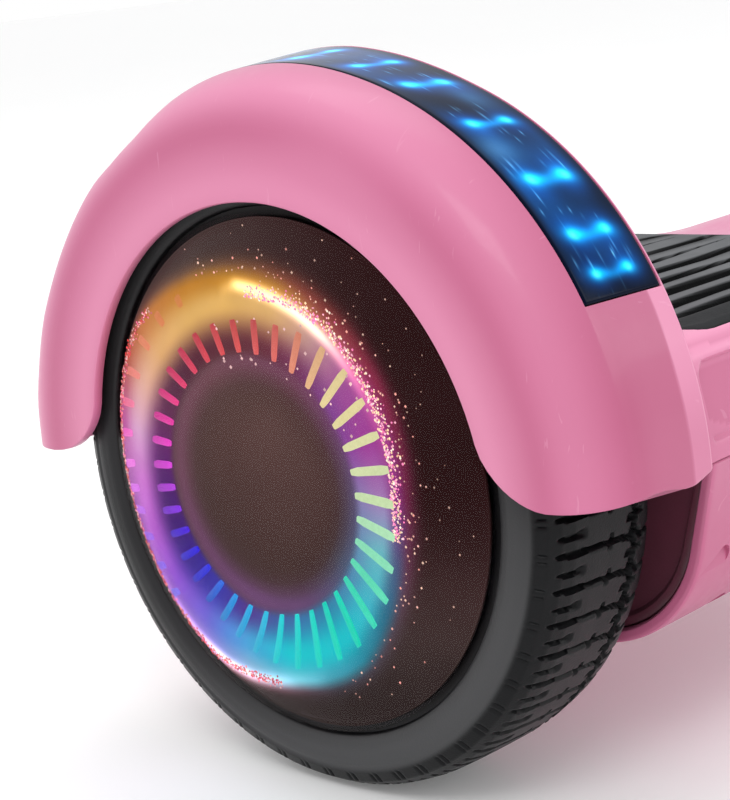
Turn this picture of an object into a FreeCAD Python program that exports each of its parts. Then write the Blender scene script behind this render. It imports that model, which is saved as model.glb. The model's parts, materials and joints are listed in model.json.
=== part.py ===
import FreeCAD, Part
import Sketcher
import math
import os

# Self-balancing hoverboard, millimetres, +Z up.
# Origin: on the ground under the middle of the board.  +X runs along the axle line
# to the board's right end (seen from the front), the front is towards -Y.
# Paired pieces are built on the left half (-X) and mirrored in the YZ plane.

Vector = FreeCAD.Vector
Rotation = FreeCAD.Rotation
Placement = FreeCAD.Placement

# Driving dimensions.  Names ending in _x, _x0, _x1 and _end are distances along X from
# the middle of the board, except lens_x0 and lens_x1, which start at the wheel centre.
DIMS = dict(
    # wheels
    wheel_x=260, axle_z=82.5, tyre_rad=82.5, rim_rad=64, rim_in_rad=57, axle_rad=8,
    axle_end=72,  # inboard end of the axle, from the wheel centre
    shoulder_rad=8.5, tip_rad=6, cover_rad=66,
    # hub motor
    stator_rad=53.4, stator_len=15, core_rad=32, core_bore=10, tooth_w=4,
    magnet_in=54.2, magnet_out=56.9,
    # fender and its light
    fender_rad=99.5, well_rad=89, arch_rad=68.8, lobe_round=22, lens_floor=92, lens_in=95,
    lens_x0=-11.3, lens_x1=18.6, lens_span=128, lens_gap=0.12,  # lens_span in degrees
    # body shells; tub_inset is how far the lower shell's sides sit in
    seam_z=82, seam_gap=0.2, wall=3, deck_z=111.5, recess_z=107.5, body_end=234,
    body_half=93, body_mid=87.5, tub_inset=0.2, taper_x=140, waist_rad=40, waist_z=75,
    waist_hole=17.5, centre_gap=1.5, bottom_z=31.85, belly_z=32, bottom_round=36,
    # foot mat
    mat_x0=230, mat_x1=100, mat_w0=84, mat_w1=80, mat_bot=109.2, mat_top=113.5, mat_edge=0.6,
    plunger_rad=4, plunger_x0=178, plunger_x1=126, plunger_y=45, plunger_bot=99.9,
    # half frame
    plate_z=74, plate_t=5, plate_x0=226, plate_x1=92, plate_w=54, rail_t=5, rail_h=15,
    boss_rad=22, boss_x0=59.8, boss_x1=12, tube_rad=15, tube_bore=12, bush_rad=18,
    saddle_w=20, saddle_x0=224, saddle_x1=192, clamp_top=93.5, bolt_rad=3, bolt_dx=10,
    bolt_dy=14,
    # fasteners
    screw_rad=1.8, screw_head=3.5, post_rad=5.5,
    # controls
    button_x=192, button_rad=7, socket_x=164, control_z=70, rear_y=84.5,
)

doc = FreeCAD.newDocument("Hoverboard")
sheet = doc.addObject("Spreadsheet::Sheet", "Dims")
sheet.Label = "Dims"
for row, (alias, size) in enumerate(DIMS.items(), start=1):
    sheet.set("A%d" % row, alias)
    sheet.set("B%d" % row, repr(float(size)))
    sheet.setAlias("B%d" % row, alias)
doc.recompute()


# ---------------------------------------------------------------- bound lengths
class Length:
    """A length with its value and the sheet expression that gives it."""

    def __init__(self, value, text):
        self.value = float(value)
        self.text = text

    def __add__(self, other):
        other = as_length(other)
        return Length(self.value + other.value, "(%s + %s)" % (self.text, other.text))

    def __radd__(self, other):
        return as_length(other) + self

    def __sub__(self, other):
        other = as_length(other)
        return Length(self.value - other.value, "(%s - %s)" % (self.text, other.text))

    def __rsub__(self, other):
        return as_length(other) - self

    def __mul__(self, other):
        other = as_length(other)
        return Length(self.value * other.value, "(%s * %s)" % (self.text, other.text))

    def __rmul__(self, other):
        return as_length(other) * self

    def __truediv__(self, other):
        other = as_length(other)
        return Length(self.value / other.value, "(%s / %s)" % (self.text, other.text))

    def __neg__(self):
        return self * -1


def as_length(size):
    if isinstance(size, Length):
        return size
    return Length(size, "%.6g" % size if size >= 0 else "(%.6g)" % size)


class SheetLengths:
    """Gives each alias of the sheet as a Length."""

    def __getattr__(self, alias):
        return Length(DIMS[alias], "Dims." + alias)


dim = SheetLengths()


def number(size):
    return size.value if isinstance(size, Length) else float(size)


def bind(item, prop, size):
    if isinstance(size, Length):
        item.setExpression(prop, size.text)


def set_size(item, prop, size):
    setattr(item, prop, number(size))
    bind(item, prop, size)


def place(item, x=0, y=0, z=0, rotation=None):
    base = Vector(number(x), number(y), number(z))
    item.Placement = Placement(base, rotation or Rotation())
    for axis, position in zip("xyz", (x, y, z)):
        bind(item, ".Placement.Base." + axis, position)
    return item


# ---------------------------------------------------------------- solids
# Turns that bring local Z onto each axis.
TURN_TO = {
    "X": Rotation(Vector(0, 1, 0), Vector(0, 0, 1), Vector(1, 0, 0), "ZXY"),
    "Y": Rotation(Vector(0, 0, 1), Vector(1, 0, 0), Vector(0, 1, 0), "ZXY"),
    "Z": Rotation(),
}

# A line is an axis and its place on the other two axes, in X, Y, Z order.
AXLE = ("X", 0, dim.axle_z)
WAIST = ("X", 0, dim.waist_z)
BUTTON = ("Y", dim.button_x, dim.control_z)
SOCKET = ("Y", dim.socket_x, dim.control_z)

# centre of the left wheel
hub_x = -dim.wheel_x
hub_z = dim.axle_z


def box(name, x0, x1, y0, y1, z0, z1):
    item = doc.addObject("Part::Box", name)
    set_size(item, "Length", x1 - x0)
    set_size(item, "Width", y1 - y0)
    set_size(item, "Height", z1 - z0)
    return place(item, x0, y0, z0)


def cylinder(name, line, start, end, radius, rotation=None):
    """A cylinder on a line, from start to end along its axis."""
    axis, first, second = line
    item = doc.addObject("Part::Cylinder", name)
    set_size(item, "Radius", radius)
    set_size(item, "Height", end - start)
    x, y, z = {
        "X": (start, first, second),
        "Y": (first, start, second),
        "Z": (first, second, start),
    }[axis]
    return place(item, x, y, z, rotation or TURN_TO[axis])


def fuse(name, *shapes):
    if len(shapes) == 1:
        return shapes[0]
    item = doc.addObject("Part::MultiFuse", name)
    item.Shapes = list(shapes)
    return item


def group(name, *shapes):
    item = doc.addObject("Part::Compound", name)
    item.Links = list(shapes)
    return item


def cut(name, base, *tools):
    item = doc.addObject("Part::Cut", name)
    item.Base = base
    item.Tool = fuse(name + "_tools", *tools)
    return item


def common(name, base, tool):
    item = doc.addObject("Part::Common", name)
    item.Base = base
    item.Tool = tool
    return item


def mirrored(name, source):
    item = doc.addObject("Part::Mirroring", name)
    item.Source = source
    item.Normal = Vector(1, 0, 0)
    return item


def tube(name, line, start, end, inner, outer):
    return cut(
        name,
        cylinder(name + "_o", line, start, end, outer),
        cylinder(name + "_i", line, start - 1, end + 1, inner))


def hub_block(name, degrees, size, corner):
    """A box set out from the left wheel centre, then turned about the axle line."""
    item = doc.addObject("Part::Box", name)
    item.Length, item.Width, item.Height = size
    centre = Vector(number(hub_x), 0, number(hub_z))
    turn = Placement(centre, Rotation(Vector(1, 0, 0), degrees))
    item.Placement = turn.multiply(Placement(Vector(*corner), Rotation()))
    return item


# ---------------------------------------------------------------- sketched profiles
def rounded_corner(before, corner, after, radius):
    """The centre and the two tangent points of a corner's arc."""
    back = (before - corner).normalize()
    onward = (after - corner).normalize()
    angle = math.acos(max(-1, min(1, back.dot(onward))))
    reach = radius / math.tan(angle / 2)
    centre = corner + (back + onward).normalize() * (radius / math.sin(angle / 2))
    return centre, corner + back * reach, corner + onward * reach


def add_arc(sketch, centre, first, second, radius):
    """Adds the short arc; returns its index and its end numbers at first and second."""
    angle_1 = math.atan2(first.y - centre.y, first.x - centre.x)
    angle_2 = math.atan2(second.y - centre.y, second.x - centre.x)
    turn = (angle_2 - angle_1) % (2 * math.pi)
    circle = Part.Circle(centre, Vector(0, 0, 1), radius)
    if turn < math.pi:
        arc = Part.ArcOfCircle(circle, angle_1, angle_1 + turn)
        return sketch.addGeometry(arc, False), 1, 2
    arc = Part.ArcOfCircle(circle, angle_2, angle_2 + 2 * math.pi - turn)
    return sketch.addGeometry(arc, False), 2, 1


def add_size(sketch, size, *constraint):
    index = sketch.addConstraint(Sketcher.Constraint(*constraint, number(size)))
    bind(sketch, "Constraints[%d]" % index, size)


def pin_point(sketch, geometry, end, point):
    """Fixes a point by its distances from the sketch origin, or on an axis where one is 0."""
    for kind, size, axis in (("DistanceX", point[0], -2), ("DistanceY", point[1], -1)):
        if abs(number(size)) < 1e-9 and not isinstance(size, Length):
            sketch.addConstraint(Sketcher.Constraint("PointOnObject", geometry, end, axis))
        else:
            add_size(sketch, size, kind, -1, 1, geometry, end)


def draw(sketch, points):
    """Draws a closed, constrained profile through points (across, up[, corner radius])."""
    count = len(points)
    corners = [Vector(number(point[0]), number(point[1]), 0) for point in points]
    radii = [number(point[2]) if len(point) > 2 else 0.0 for point in points]
    starts = list(corners)
    ends = corners[1:] + corners[:1]
    centres = {}
    for i in range(count):
        if radii[i] > 0:
            centres[i], ends[i - 1], starts[i] = rounded_corner(
                corners[i - 1], corners[i], corners[(i + 1) % count], radii[i])
    for start, end in zip(starts, ends):
        sketch.addGeometry(Part.LineSegment(start, end), False)
    arcs = {
        i: add_arc(sketch, centre, ends[i - 1], starts[i], radii[i])
        for i, centre in centres.items()}

    for i, point in enumerate(points):
        previous = (i - 1) % count
        if i not in arcs:
            sketch.addConstraint(Sketcher.Constraint("Coincident", previous, 2, i, 1))
            pin_point(sketch, i, 1, point)
            continue
        arc, arc_start, arc_end = arcs[i]
        sketch.addConstraint(Sketcher.Constraint("Tangent", previous, 2, arc, arc_start))
        sketch.addConstraint(Sketcher.Constraint("Tangent", arc, arc_end, i, 1))
        add_size(sketch, point[2], "Radius", arc)
        # a construction point stands for the sharp corner
        corner = sketch.addGeometry(Part.Point(corners[i]), True)
        sketch.addConstraint(Sketcher.Constraint("PointOnObject", corner, 1, previous))
        sketch.addConstraint(Sketcher.Constraint("PointOnObject", corner, 1, i))
        pin_point(sketch, corner, 1, point)


def origin_feature(body, role):
    return next(item for item in body.Origin.OriginFeatures if item.Role == role)


def body_sketch(body, name, plane):
    sketch = body.newObject("Sketcher::SketchObject", name)
    sketch.AttachmentSupport = (origin_feature(body, plane), [""])
    sketch.MapMode = "FlatFace"
    return sketch


def body_pad(body, name, sketch, length):
    feature = body.newObject("PartDesign::Pad", name)
    feature.Profile = sketch
    set_size(feature, "Length", length)
    return feature


def turned(name, points):
    """A body turned about the left axle; points are (inboard of wheel centre, radius)."""
    body = doc.addObject("PartDesign::Body", name)
    sketch = body_sketch(body, name + "_profile", "XZ_Plane")
    draw(sketch, points)
    feature = body.newObject("PartDesign::Revolution", name + "_turn")
    feature.Profile = sketch
    feature.ReferenceAxis = (sketch, ["H_Axis"])
    feature.Angle = 360
    body.Tip = feature
    return place(body, hub_x, 0, hub_z)


def padded(name, points, z, height):
    """A body padded up from height z; points are (x, y, corner radius)."""
    body = doc.addObject("PartDesign::Body", name)
    sketch = body_sketch(body, name + "_outline", "XY_Plane")
    draw(sketch, points)
    body.Tip = body_pad(body, name + "_pad", sketch, height)
    return place(body, 0, 0, z)


def loft(name, sections, ruled=False):
    item = doc.addObject("Part::Loft", name)
    item.Sections = sections
    item.Solid = True
    item.Ruled = ruled
    return item


# ---------------------------------------------------------------- pieces
pieces = []


def node(name, item):
    """Labels a finished piece and lists it for export."""
    item.Label = name
    pieces.append(item)


def both(name, item):
    """The left piece, and its mirror image on the right half."""
    node("left_" + name, item)
    node("right_" + name, mirrored("right_" + name, item))


# ---------------------------------------------------------------- wheel and hub motor
TEETH = 27
STATOR_X = -7  # outboard face of the stator, from the wheel centre
MAGNET_SLOTS = 15
HUB_LEDS = 22

# tag, outboard end, inboard end (from the wheel centre), then the radii: bore,
# inner ring, outer ring's inside, outside, ball
BEARINGS = [
    ("tip", -15.9, -7.9, dim.tip_rad, 8.2, 11.8, 14, 1.7),
    ("main", 9.1, 18.9, dim.shoulder_rad, 11, 15, 17.5, 1.9),
]
BALLS = 9


def tyre():
    rim, outer = dim.rim_rad, dim.tyre_rad
    lip = dim.cover_rad + 0.4
    return turned("tyre", [
        (-18.5, rim), (-18.5, lip), (-21.5, lip), (-22, 72), (-21.2, 77), (-18.6, 80.6),
        (-14, outer - 0.3), (-8, outer), (7.5, outer), (8.5, outer - 1.2), (10, outer - 1.2),
        (11, outer - 0.2), (15.5, outer - 1.6), (18.6, 77.5), (20, 71), (19.4, rim)])


def rotor_ring():
    rim, inside = dim.rim_rad, dim.rim_in_rad
    return turned("rotor_ring", [
        (-18, 0), (-18, rim), (16.5, rim), (16.5, inside), (-14, inside), (-14, 18),
        (-7.8, 18), (-7.8, 14), (-16.2, 14), (-16.2, 0)])


def rotor_side_cover():
    return turned("rotor_side_cover", [
        (16.5, dim.rim_rad - 0.6), (19.6, dim.rim_rad - 3), (19.6, 17.5), (9, 17.5),
        (9, 21), (16.5, 21)])


def rotor_magnets():
    """A ring parted into magnets by slots that each cross the whole wheel."""
    ring = tube("magnet_ring", AXLE, hub_x - 8, hub_x + 9, dim.magnet_in, dim.magnet_out)
    slots = [
        hub_block("magnet_slot", 180 / MAGNET_SLOTS * i, (24, 124, 0.8), (-12, -62, -0.4))
        for i in range(MAGNET_SLOTS)]
    return cut("rotor_magnets", ring, *slots)


def stator():
    """A core ring with one T-shaped tooth patterned round it."""
    body = doc.addObject("PartDesign::Body", "stator")
    ring = body_sketch(body, "stator_ring", "YZ_Plane")
    for radius in (dim.core_rad, dim.core_bore):
        circle = Part.Circle(Vector(0, 0, 0), Vector(0, 0, 1), number(radius))
        index = ring.addGeometry(circle, False)
        ring.addConstraint(Sketcher.Constraint("Coincident", index, 3, -1, 1))
        add_size(ring, radius, "Radius", index)
    body_pad(body, "stator_core_pad", ring, dim.stator_len)

    side, shoe = dim.tooth_w / 2, 4.7
    root_rad, neck_rad, shoe_rad = 30, 49.8, 51.2
    profile = body_sketch(body, "stator_tooth", "YZ_Plane")
    draw(profile, [
        (-side, root_rad), (-side, neck_rad), (-shoe, shoe_rad), (-shoe, dim.stator_rad - 0.5),
        (0, dim.stator_rad), (shoe, dim.stator_rad - 0.5), (shoe, shoe_rad),
        (side, neck_rad), (side, root_rad)])
    tooth = body_pad(body, "stator_tooth_pad", profile, dim.stator_len)

    pattern = body.newObject("PartDesign::PolarPattern", "stator_teeth")
    pattern.Originals = [tooth]
    pattern.Axis = (origin_feature(body, "X_Axis"), [""])
    pattern.Angle = 360
    pattern.Occurrences = TEETH
    body.Tip = pattern
    return place(body, hub_x + STATOR_X, 0, hub_z)


def stator_windings():
    """One block coil round each tooth, clear of it on all sides."""
    clear = 0.2
    hole_w = number(dim.tooth_w) + 2 * clear
    hole_len = number(dim.stator_len) + 2 * clear
    coils = []
    for i in range(TEETH):
        angle = 360 / TEETH * i
        block = hub_block("coil", angle, (20.6, 7.0, 14.6), (-9.8, -3.5, 34.0))
        hole = hub_block(
            "coil_hole", angle, (hole_len, hole_w, 20), (STATOR_X - clear, -hole_w / 2, 32.0))
        coils.append(cut("coil_%d" % i, block, hole))
    return group("stator_windings", *coils)


def axle():
    """Fixed stepped axle, with two flats where the frame clamps it and a cable bore."""
    tip, collar, shoulder = dim.tip_rad, dim.core_bore, dim.shoulder_rad
    bore_rad, bore_x = 3, 21
    shaft = turned("axle_turned", [
        (-16, 0), (-16, tip), (-7.4, tip), (-7.4, collar), (8.8, collar), (8.8, shoulder),
        (24, shoulder), (24, dim.axle_rad), (dim.axle_end, dim.axle_rad),
        (dim.axle_end, bore_rad), (bore_x, bore_rad), (bore_x, 0)])
    flats = [
        box(name, hub_x + 32, hub_x + 74, y0, y1, hub_z - 10, hub_z + 10)
        for name, y0, y1 in (("axle_flat_f", -10, -6.5), ("axle_flat_b", 6.5, 10))]
    return cut("axle", shaft, *flats)


def bearing_inners():
    return group("bearing_inners", *[
        tube("inner_ring_" + tag, AXLE, hub_x + x0, hub_x + x1, bore, inner)
        for tag, x0, x1, bore, inner, _, _, _ in BEARINGS])


def bearing_outers():
    """The outer rings, with the balls midway between the rings."""
    parts = []
    for tag, x0, x1, _, inner, outer, outside, ball_rad in BEARINGS:
        parts.append(tube("outer_ring_" + tag, AXLE, hub_x + x0, hub_x + x1, outer, outside))
        pitch = (inner + outer) / 2
        for i in range(BALLS):
            angle = 2 * math.pi * i / BALLS
            ball = doc.addObject("Part::Sphere", "ball")
            ball.Radius = ball_rad
            parts.append(place(
                ball, hub_x + (x0 + x1) / 2,
                pitch * math.cos(angle), hub_z + pitch * math.sin(angle)))
    return group("bearing_outers", *parts)


def hub_light_cover():
    """Dished smoked cover over the hub."""
    return turned("hub_light_cover", [
        (-18.6, dim.cover_rad), (-22.5, dim.cover_rad), (-24.5, 62.5), (-28.5, 51), (-31, 38),
        (-32, 31), (-32, 0), (-30, 0), (-30, 31), (-29, 37.6), (-26.7, 49.8), (-22.9, 60.6),
        (-20.9, 63.4), (-18.6, 63.4)])


def hub_light_ring():
    """Ring board behind the hub cover, with its lights."""
    board = tube("hub_board", AXLE, hub_x - 19.8, hub_x - 18.1, 30, 52)
    leds = [
        hub_block("hub_led", 360 / HUB_LEDS * i, (1.6, 3.2, 3.2), (-21.3, -1.6, 39.0))
        for i in range(HUB_LEDS)]
    return fuse("hub_light_ring", board, *leds)


# ---------------------------------------------------------------- shell skins
TUB_LEAN = 12.8  # how far the lower shell's sides lean in at the wheel end


def shell_section(name, x, half, edge_z, flat_z, radius, lean):
    """A sketch across the body: two leaning sides from edge_z to a flat with round corners."""
    sketch = doc.addObject("Sketcher::SketchObject", name)
    place(sketch, x, 0, 0, TURN_TO["X"])
    draw(sketch, [
        (-half, edge_z), (lean - half, flat_z, radius),
        (half - lean, flat_z, radius), (half, edge_z)])
    return sketch


def skin(name, sections):
    """A straight tapered part, then a smooth run to the round waist."""
    taper = loft(name + "_a", sections[:2], True)
    return fuse(name, taper, loft(name + "_b", sections[1:]))


def deck_skin(name, inset, x_out, x_in, top, edge_z):
    stations = [  # x, half width, rise above top, corner radius, lean
        (x_out, dim.body_half, 0, 9, 6.0),
        (-dim.taper_x, dim.body_mid, 0, 9, 5.6),
        (-118, 81.2, 0.3, 11, 5),
        (-95, 69.2, 1.3, 18, 3.6),
        (-70, 55.8, 2.6, 26, 2),
        (-45, 46.2, 3.3, 28, 0.8),
        (-20, 41.2, 3.5, 29, 0.2),
        (x_in, dim.waist_rad - 0.6, 3.5, 29, 0),
    ]
    sections = []
    for k, (x, half, rise, radius, lean) in enumerate(stations):
        # the corner has to fit between the flat and the seam
        room = number(top + rise - dim.seam_z) - 1.8
        radius = max(min(radius - number(inset), room), 3)
        sections.append(shell_section(
            "%s_s%d" % (name, k), x, half - inset, edge_z, top + rise, radius, lean))
    return skin(name, sections)


def tub_skin(name, inset, x_out, x_in, edge_z):
    stations = [  # x, half width, rise above bottom_z, cut in corner radius, lean
        (x_out, dim.body_half - dim.tub_inset, 0, 0, TUB_LEAN),
        (-dim.taper_x, dim.body_mid - dim.tub_inset, 0, 0, 11.6),
        (-118, 81, 0, 0, 10),
        (-95, 69, 0.3, 0, 7),
        (-70, 55.6, 1.2, 2, 3.8),
        (-45, 46, 2.3, 3, 1.5),
        (-20, 41.1, 2.9, 4, 0.4),
        (x_in, dim.waist_rad - 0.7, 3.15, 4, 0),
    ]
    return skin(name, [
        shell_section(
            "%s_s%d" % (name, k), x, half - inset, edge_z, dim.bottom_z + rise + inset,
            dim.bottom_round - less - inset, lean)
        for k, (x, half, rise, less, lean) in enumerate(stations)])


# ---------------------------------------------------------------- upper shell
# x, y of the screw posts; the last two are by the waist
POSTS = [(-208, 70), (-208, -70), (-150, 69), (-150, -69), (-50, 33), (-50, -33)]
PLUNGERS = [
    (-x, y) for x in (dim.plunger_x0, dim.plunger_x1) for y in (dim.plunger_y, -dim.plunger_y)]


def fender_barrel():
    """The fender as a full barrel about the axle."""
    outer = dim.fender_rad
    return turned("fender_barrel", [
        (-27.5, 0), (-27.5, 84), (-26.6, 88.5), (-24.2, 92.8), (-20, 96.6), (-16, 98.6),
        (-11.3, outer), (0, outer - 0.7), (18.6, outer - 2), (21.5, 96.6), (23.6, 94.2),
        (25, 90), (26.6, 70), (28, 31), (28, 0)])


def wheel_well():
    return turned("wheel_well", [
        (-24.4, 0), (-24.4, 78), (-23.2, 83.5), (-20, 87.5), (-15, dim.well_rad),
        (17, dim.well_rad), (21, 87.5), (22.5, 84), (22.5, 0)])


def lobe_tool(tag, side):
    """Rounds a fender lobe's lower corner nearer the axle; side is 1 rear, -1 front."""
    lobe_y = 87.2
    y0, y1 = sorted((side * 50, side * lobe_y))
    block = box(
        "lobe_box" + tag, hub_x - 40, hub_x - 20, y0, y1, dim.seam_z - 4, hub_z + 17)
    keep = cylinder(
        "lobe_cyl" + tag, ("X", side * lobe_y, hub_z + 22.1), hub_x - 41, hub_x - 19,
        dim.lobe_round)
    return cut("lobe_round" + tag, block, keep)


def crown_sector(name, x0, x1, inner, outer, trim=0.0):
    """A ring sector about the axle, over the crown from rear to front.

    x0 and x1 are from the wheel centre; trim, in radians, shortens each end.
    """
    start = math.radians((180 - number(dim.lens_span)) / 2) + trim
    rotation = Rotation(
        Vector(0, math.cos(start), math.sin(start)),
        Vector(0, -math.sin(start), math.cos(start)), Vector(1, 0, 0), "ZXY")
    wedge = cylinder(name + "_o", AXLE, hub_x + x0, hub_x + x1, outer, rotation)
    set_size(wedge, "Angle", dim.lens_span - 2 * math.degrees(trim))
    bore = cylinder(name + "_i", AXLE, hub_x + x0 - 1, hub_x + x1 + 1, inner)
    return cut(name, wedge, bore)


def mat_outline(edge, end_round):
    """The mat's outline grown by edge, narrowing towards the waist: (x, y, radius)."""
    rear = [
        (-dim.mat_x0 - edge, dim.mat_w0 + edge, end_round),
        (-dim.taper_x - 4, dim.mat_w1 + edge, 12),
        (-112, 68 + edge, 12),
        (-dim.mat_x1 + edge, 52 + edge, 8),
    ]
    front = [(x, -y, radius) for x, y, radius in rear]
    return rear + front[::-1]


def upper_shell(barrel):
    outer = deck_skin(
        "deck_outer", 0, -dim.body_end - 3, -dim.centre_gap, dim.deck_z, dim.seam_z)
    inner = deck_skin(
        "deck_inner", dim.wall, -dim.body_end + 2, -dim.centre_gap - 3,
        dim.recess_z - dim.wall, dim.seam_z - 1)
    fender_keep = box("fender_keep", hub_x - 40, hub_x + 40, -120, 120, dim.seam_z - 1, 200)
    fender_top = common("fender_top", barrel, fender_keep)
    shell = cut("upper_hollow", fuse("upper_outer", outer, fender_top), inner, wheel_well())

    # the posts by the waist reach up to the higher deck there
    posts = [
        cylinder("upper_post", ("Z", x, y), dim.seam_z + 0.1,
                 dim.recess_z + (-1.5 if abs(y) > 40 else 4), dim.post_rad - 0.5)
        for x, y in POSTS]
    shell = fuse("upper_posted", shell, *posts)

    lobe_x = hub_x + 22.4
    steps = [
        cylinder("arch", AXLE, hub_x - 40, hub_x - 20, dim.arch_rad),
        lobe_tool("_r", 1),
        lobe_tool("_f", -1),
        box("seam_level", lobe_x, 10, -120, 120, 60, dim.seam_z),
        box("lobe_level", hub_x - 60, lobe_x, -120, 120, 60, dim.seam_z + 0.9),
        crown_sector("lens_recess", dim.lens_x0 - dim.lens_gap, dim.lens_x1 + dim.lens_gap,
                     dim.lens_floor, 110, -0.0012),
        padded("mat_recess", mat_outline(dim.mat_edge, 6), dim.recess_z, 20),
    ]
    for k, tool in enumerate(steps):
        shell = cut("upper_step_%d" % k, shell, tool)

    holes = [
        cylinder("axle_notch", AXLE, hub_x + 15, hub_x + 40, 12),
        cylinder("waist_hole_u", WAIST, -12, 2, dim.waist_hole)]
    holes += [
        cylinder("plunger_hole", ("Z", x, y), 95, 112, dim.plunger_rad + 0.6)
        for x, y in PLUNGERS]
    holes += [
        cylinder("pilot_hole", ("Z", x, y), dim.seam_z - 2, 99.5, dim.screw_rad + 0.05)
        for x, y in POSTS]
    return cut("upper_shell", shell, *holes)


# ---------------------------------------------------------------- lower shell
# headlight window on the front face
LIGHT_X0, LIGHT_X1 = -204, -148
LIGHT_Z0, LIGHT_Z1 = 61.5, 70.5


def scoop(y):
    """Tool for a slanted blind scoop beside the wheel, low on the front or rear face."""
    item = doc.addObject("Part::Box", "scoop")
    item.Length, item.Width, item.Height = 15, 8, 4.6
    item.Placement = Placement(Vector(-234.5, y, 47.6), Rotation(Vector(0, 1, 0), -36))
    return item


def left_lower_shell(tub_solid):
    inner = tub_skin(
        "tub_inner", dim.wall, -dim.body_end - 3, -dim.centre_gap - 3, dim.seam_z + 1)
    posts = fuse("lower_posts", *[
        cylinder("lower_post", ("Z", x, y), 30, dim.seam_z - dim.seam_gap, dim.post_rad)
        for x, y in POSTS])
    shell = cut("tub_hollow", tub_solid, inner)
    shell = fuse("tub_posted", shell, common("lower_posts_in", posts, tub_solid))
    tools = [
        box("headlight_window", LIGHT_X0, LIGHT_X1, -96, -76, LIGHT_Z0, LIGHT_Z1),
        box("belly_level", -240, -106, -60, 60, 20, dim.belly_z),
        cylinder("waist_hole_l", WAIST, -12, 2, dim.waist_hole)]
    tools += [
        cylinder("counterbore", ("Z", x, y), 20, 78, dim.screw_head + 0.3) for x, y in POSTS]
    tools += [scoop(-92.3), scoop(84.3)]
    tools += [
        cylinder("screw_hole", ("Z", x, y), 70, 90, dim.screw_rad + 0.3) for x, y in POSTS]
    return cut("lower_shell", shell, *tools)


def right_lower_shell(left_shell, tub_solid):
    """The mirrored shell, with the rear control pocket and the speaker slits added."""
    blank = mirrored("right_lower_blank", left_shell)
    x0, x1 = dim.socket_x - 13, dim.button_x + 12
    margin = 1.5
    backing = common(
        "control_backing_in",
        box("control_backing", x0 - margin, x1 + margin, dim.rear_y - 3, dim.rear_y + 1.5,
            dim.control_z - 12, dim.control_z + 11.7),
        mirrored("right_tub_solid", tub_solid))
    tools = [
        cylinder("button_hole", BUTTON, 70, 94, dim.button_rad + 2),
        cylinder("socket_hole", SOCKET, 70, 94, 8.2)]
    tools += [
        cylinder("speaker_slit", ("Z", SPEAKER_X + i * 9, j * 6.0), 26, 40, 1.4)
        for i in range(-1, 2) for j in range(-3, 4)]
    tools.append(box(
        "control_pocket", x0, x1, dim.rear_y, 100, dim.control_z - 10.6, dim.control_z + 10.6))
    return cut("right_lower_shell", fuse("right_lower_backed", blank, backing), *tools)


def shell_screws():
    return group("shell_screws", *[
        fuse("screw_%d" % k,
             cylinder("screw_head", ("Z", x, y), 75, 77.98, dim.screw_head),
             cylinder("screw_shank", ("Z", x, y), 77, 98, dim.screw_rad))
        for k, (x, y) in enumerate(POSTS)])


# ---------------------------------------------------------------- shell fittings
def fender_light_lens(barrel):
    """Lens that follows the fender's crown."""
    blank = crown_sector("lens_blank", dim.lens_x0, dim.lens_x1, dim.lens_in, 110)
    return common("fender_light_lens", blank, barrel)


def fender_light_strip():
    """Curved board under the lens, with two rows of lights."""
    board = crown_sector(
        "strip_board", dim.lens_x0 + 0.7, dim.lens_x1 - 0.7,
        dim.lens_floor + 0.1, dim.lens_floor + 1.1, 0.01)
    leds = [
        hub_block("strip_led", angle, (4, 4, 1.9), (x, -2, 92.6))
        for angle in range(-60, 61, 10) for x in (-4, 8)]
    return fuse("fender_light_strip", board, *leds)


def wheel_well_liner():
    """Plate that closes the wheel end of the lower shell."""
    half = dim.body_half - dim.tub_inset - dim.wall - 1.0
    sections = [
        shell_section("liner_s%d" % k, -dim.body_end + x, half, dim.seam_z - 1,
                      dim.belly_z + dim.wall + 0.4, dim.bottom_round - dim.wall, TUB_LEAN)
        for k, x in enumerate((3.0, 5.5))]
    hole = cylinder("liner_hole", AXLE, hub_x + 20, hub_x + 40, 11)
    return cut("wheel_well_liner", loft("liner_plate", sections, True), hole)


def headlight_lens():
    clear = 0.3
    return box("headlight_bar", LIGHT_X0 + clear, LIGHT_X1 - clear, -82.4, -78.4,
               LIGHT_Z0 + clear, LIGHT_Z1 - clear)


def foot_mat():
    """The mat, with the plungers moulded under it."""
    mat = padded("mat_sheet", mat_outline(0, 5.5), dim.mat_bot, dim.mat_top - dim.mat_bot)
    plungers = [
        cylinder("plunger", ("Z", x, y), dim.plunger_bot, dim.mat_bot + 1, dim.plunger_rad)
        for x, y in PLUNGERS]
    return fuse("foot_mat", mat, *plungers)


def sensor_board():
    """Board under the deck, with one switch below each plunger."""
    switch_half = 4
    board = box("sensor_pcb", -190, -114, -52, 52, 94.6, 96.2)
    switches = [
        box("sensor_switch", x - switch_half, x + switch_half,
            y - switch_half, y + switch_half, 96, 98.2)
        for x, y in PLUNGERS]
    return fuse("sensor_board", board, *switches)


# ---------------------------------------------------------------- half frames
saddle_mid = -(dim.saddle_x0 + dim.saddle_x1) / 2
BOLTS = [
    (saddle_mid + i * dim.bolt_dx, j * dim.bolt_dy) for i in (-1, 1) for j in (-1, 1)]


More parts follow.
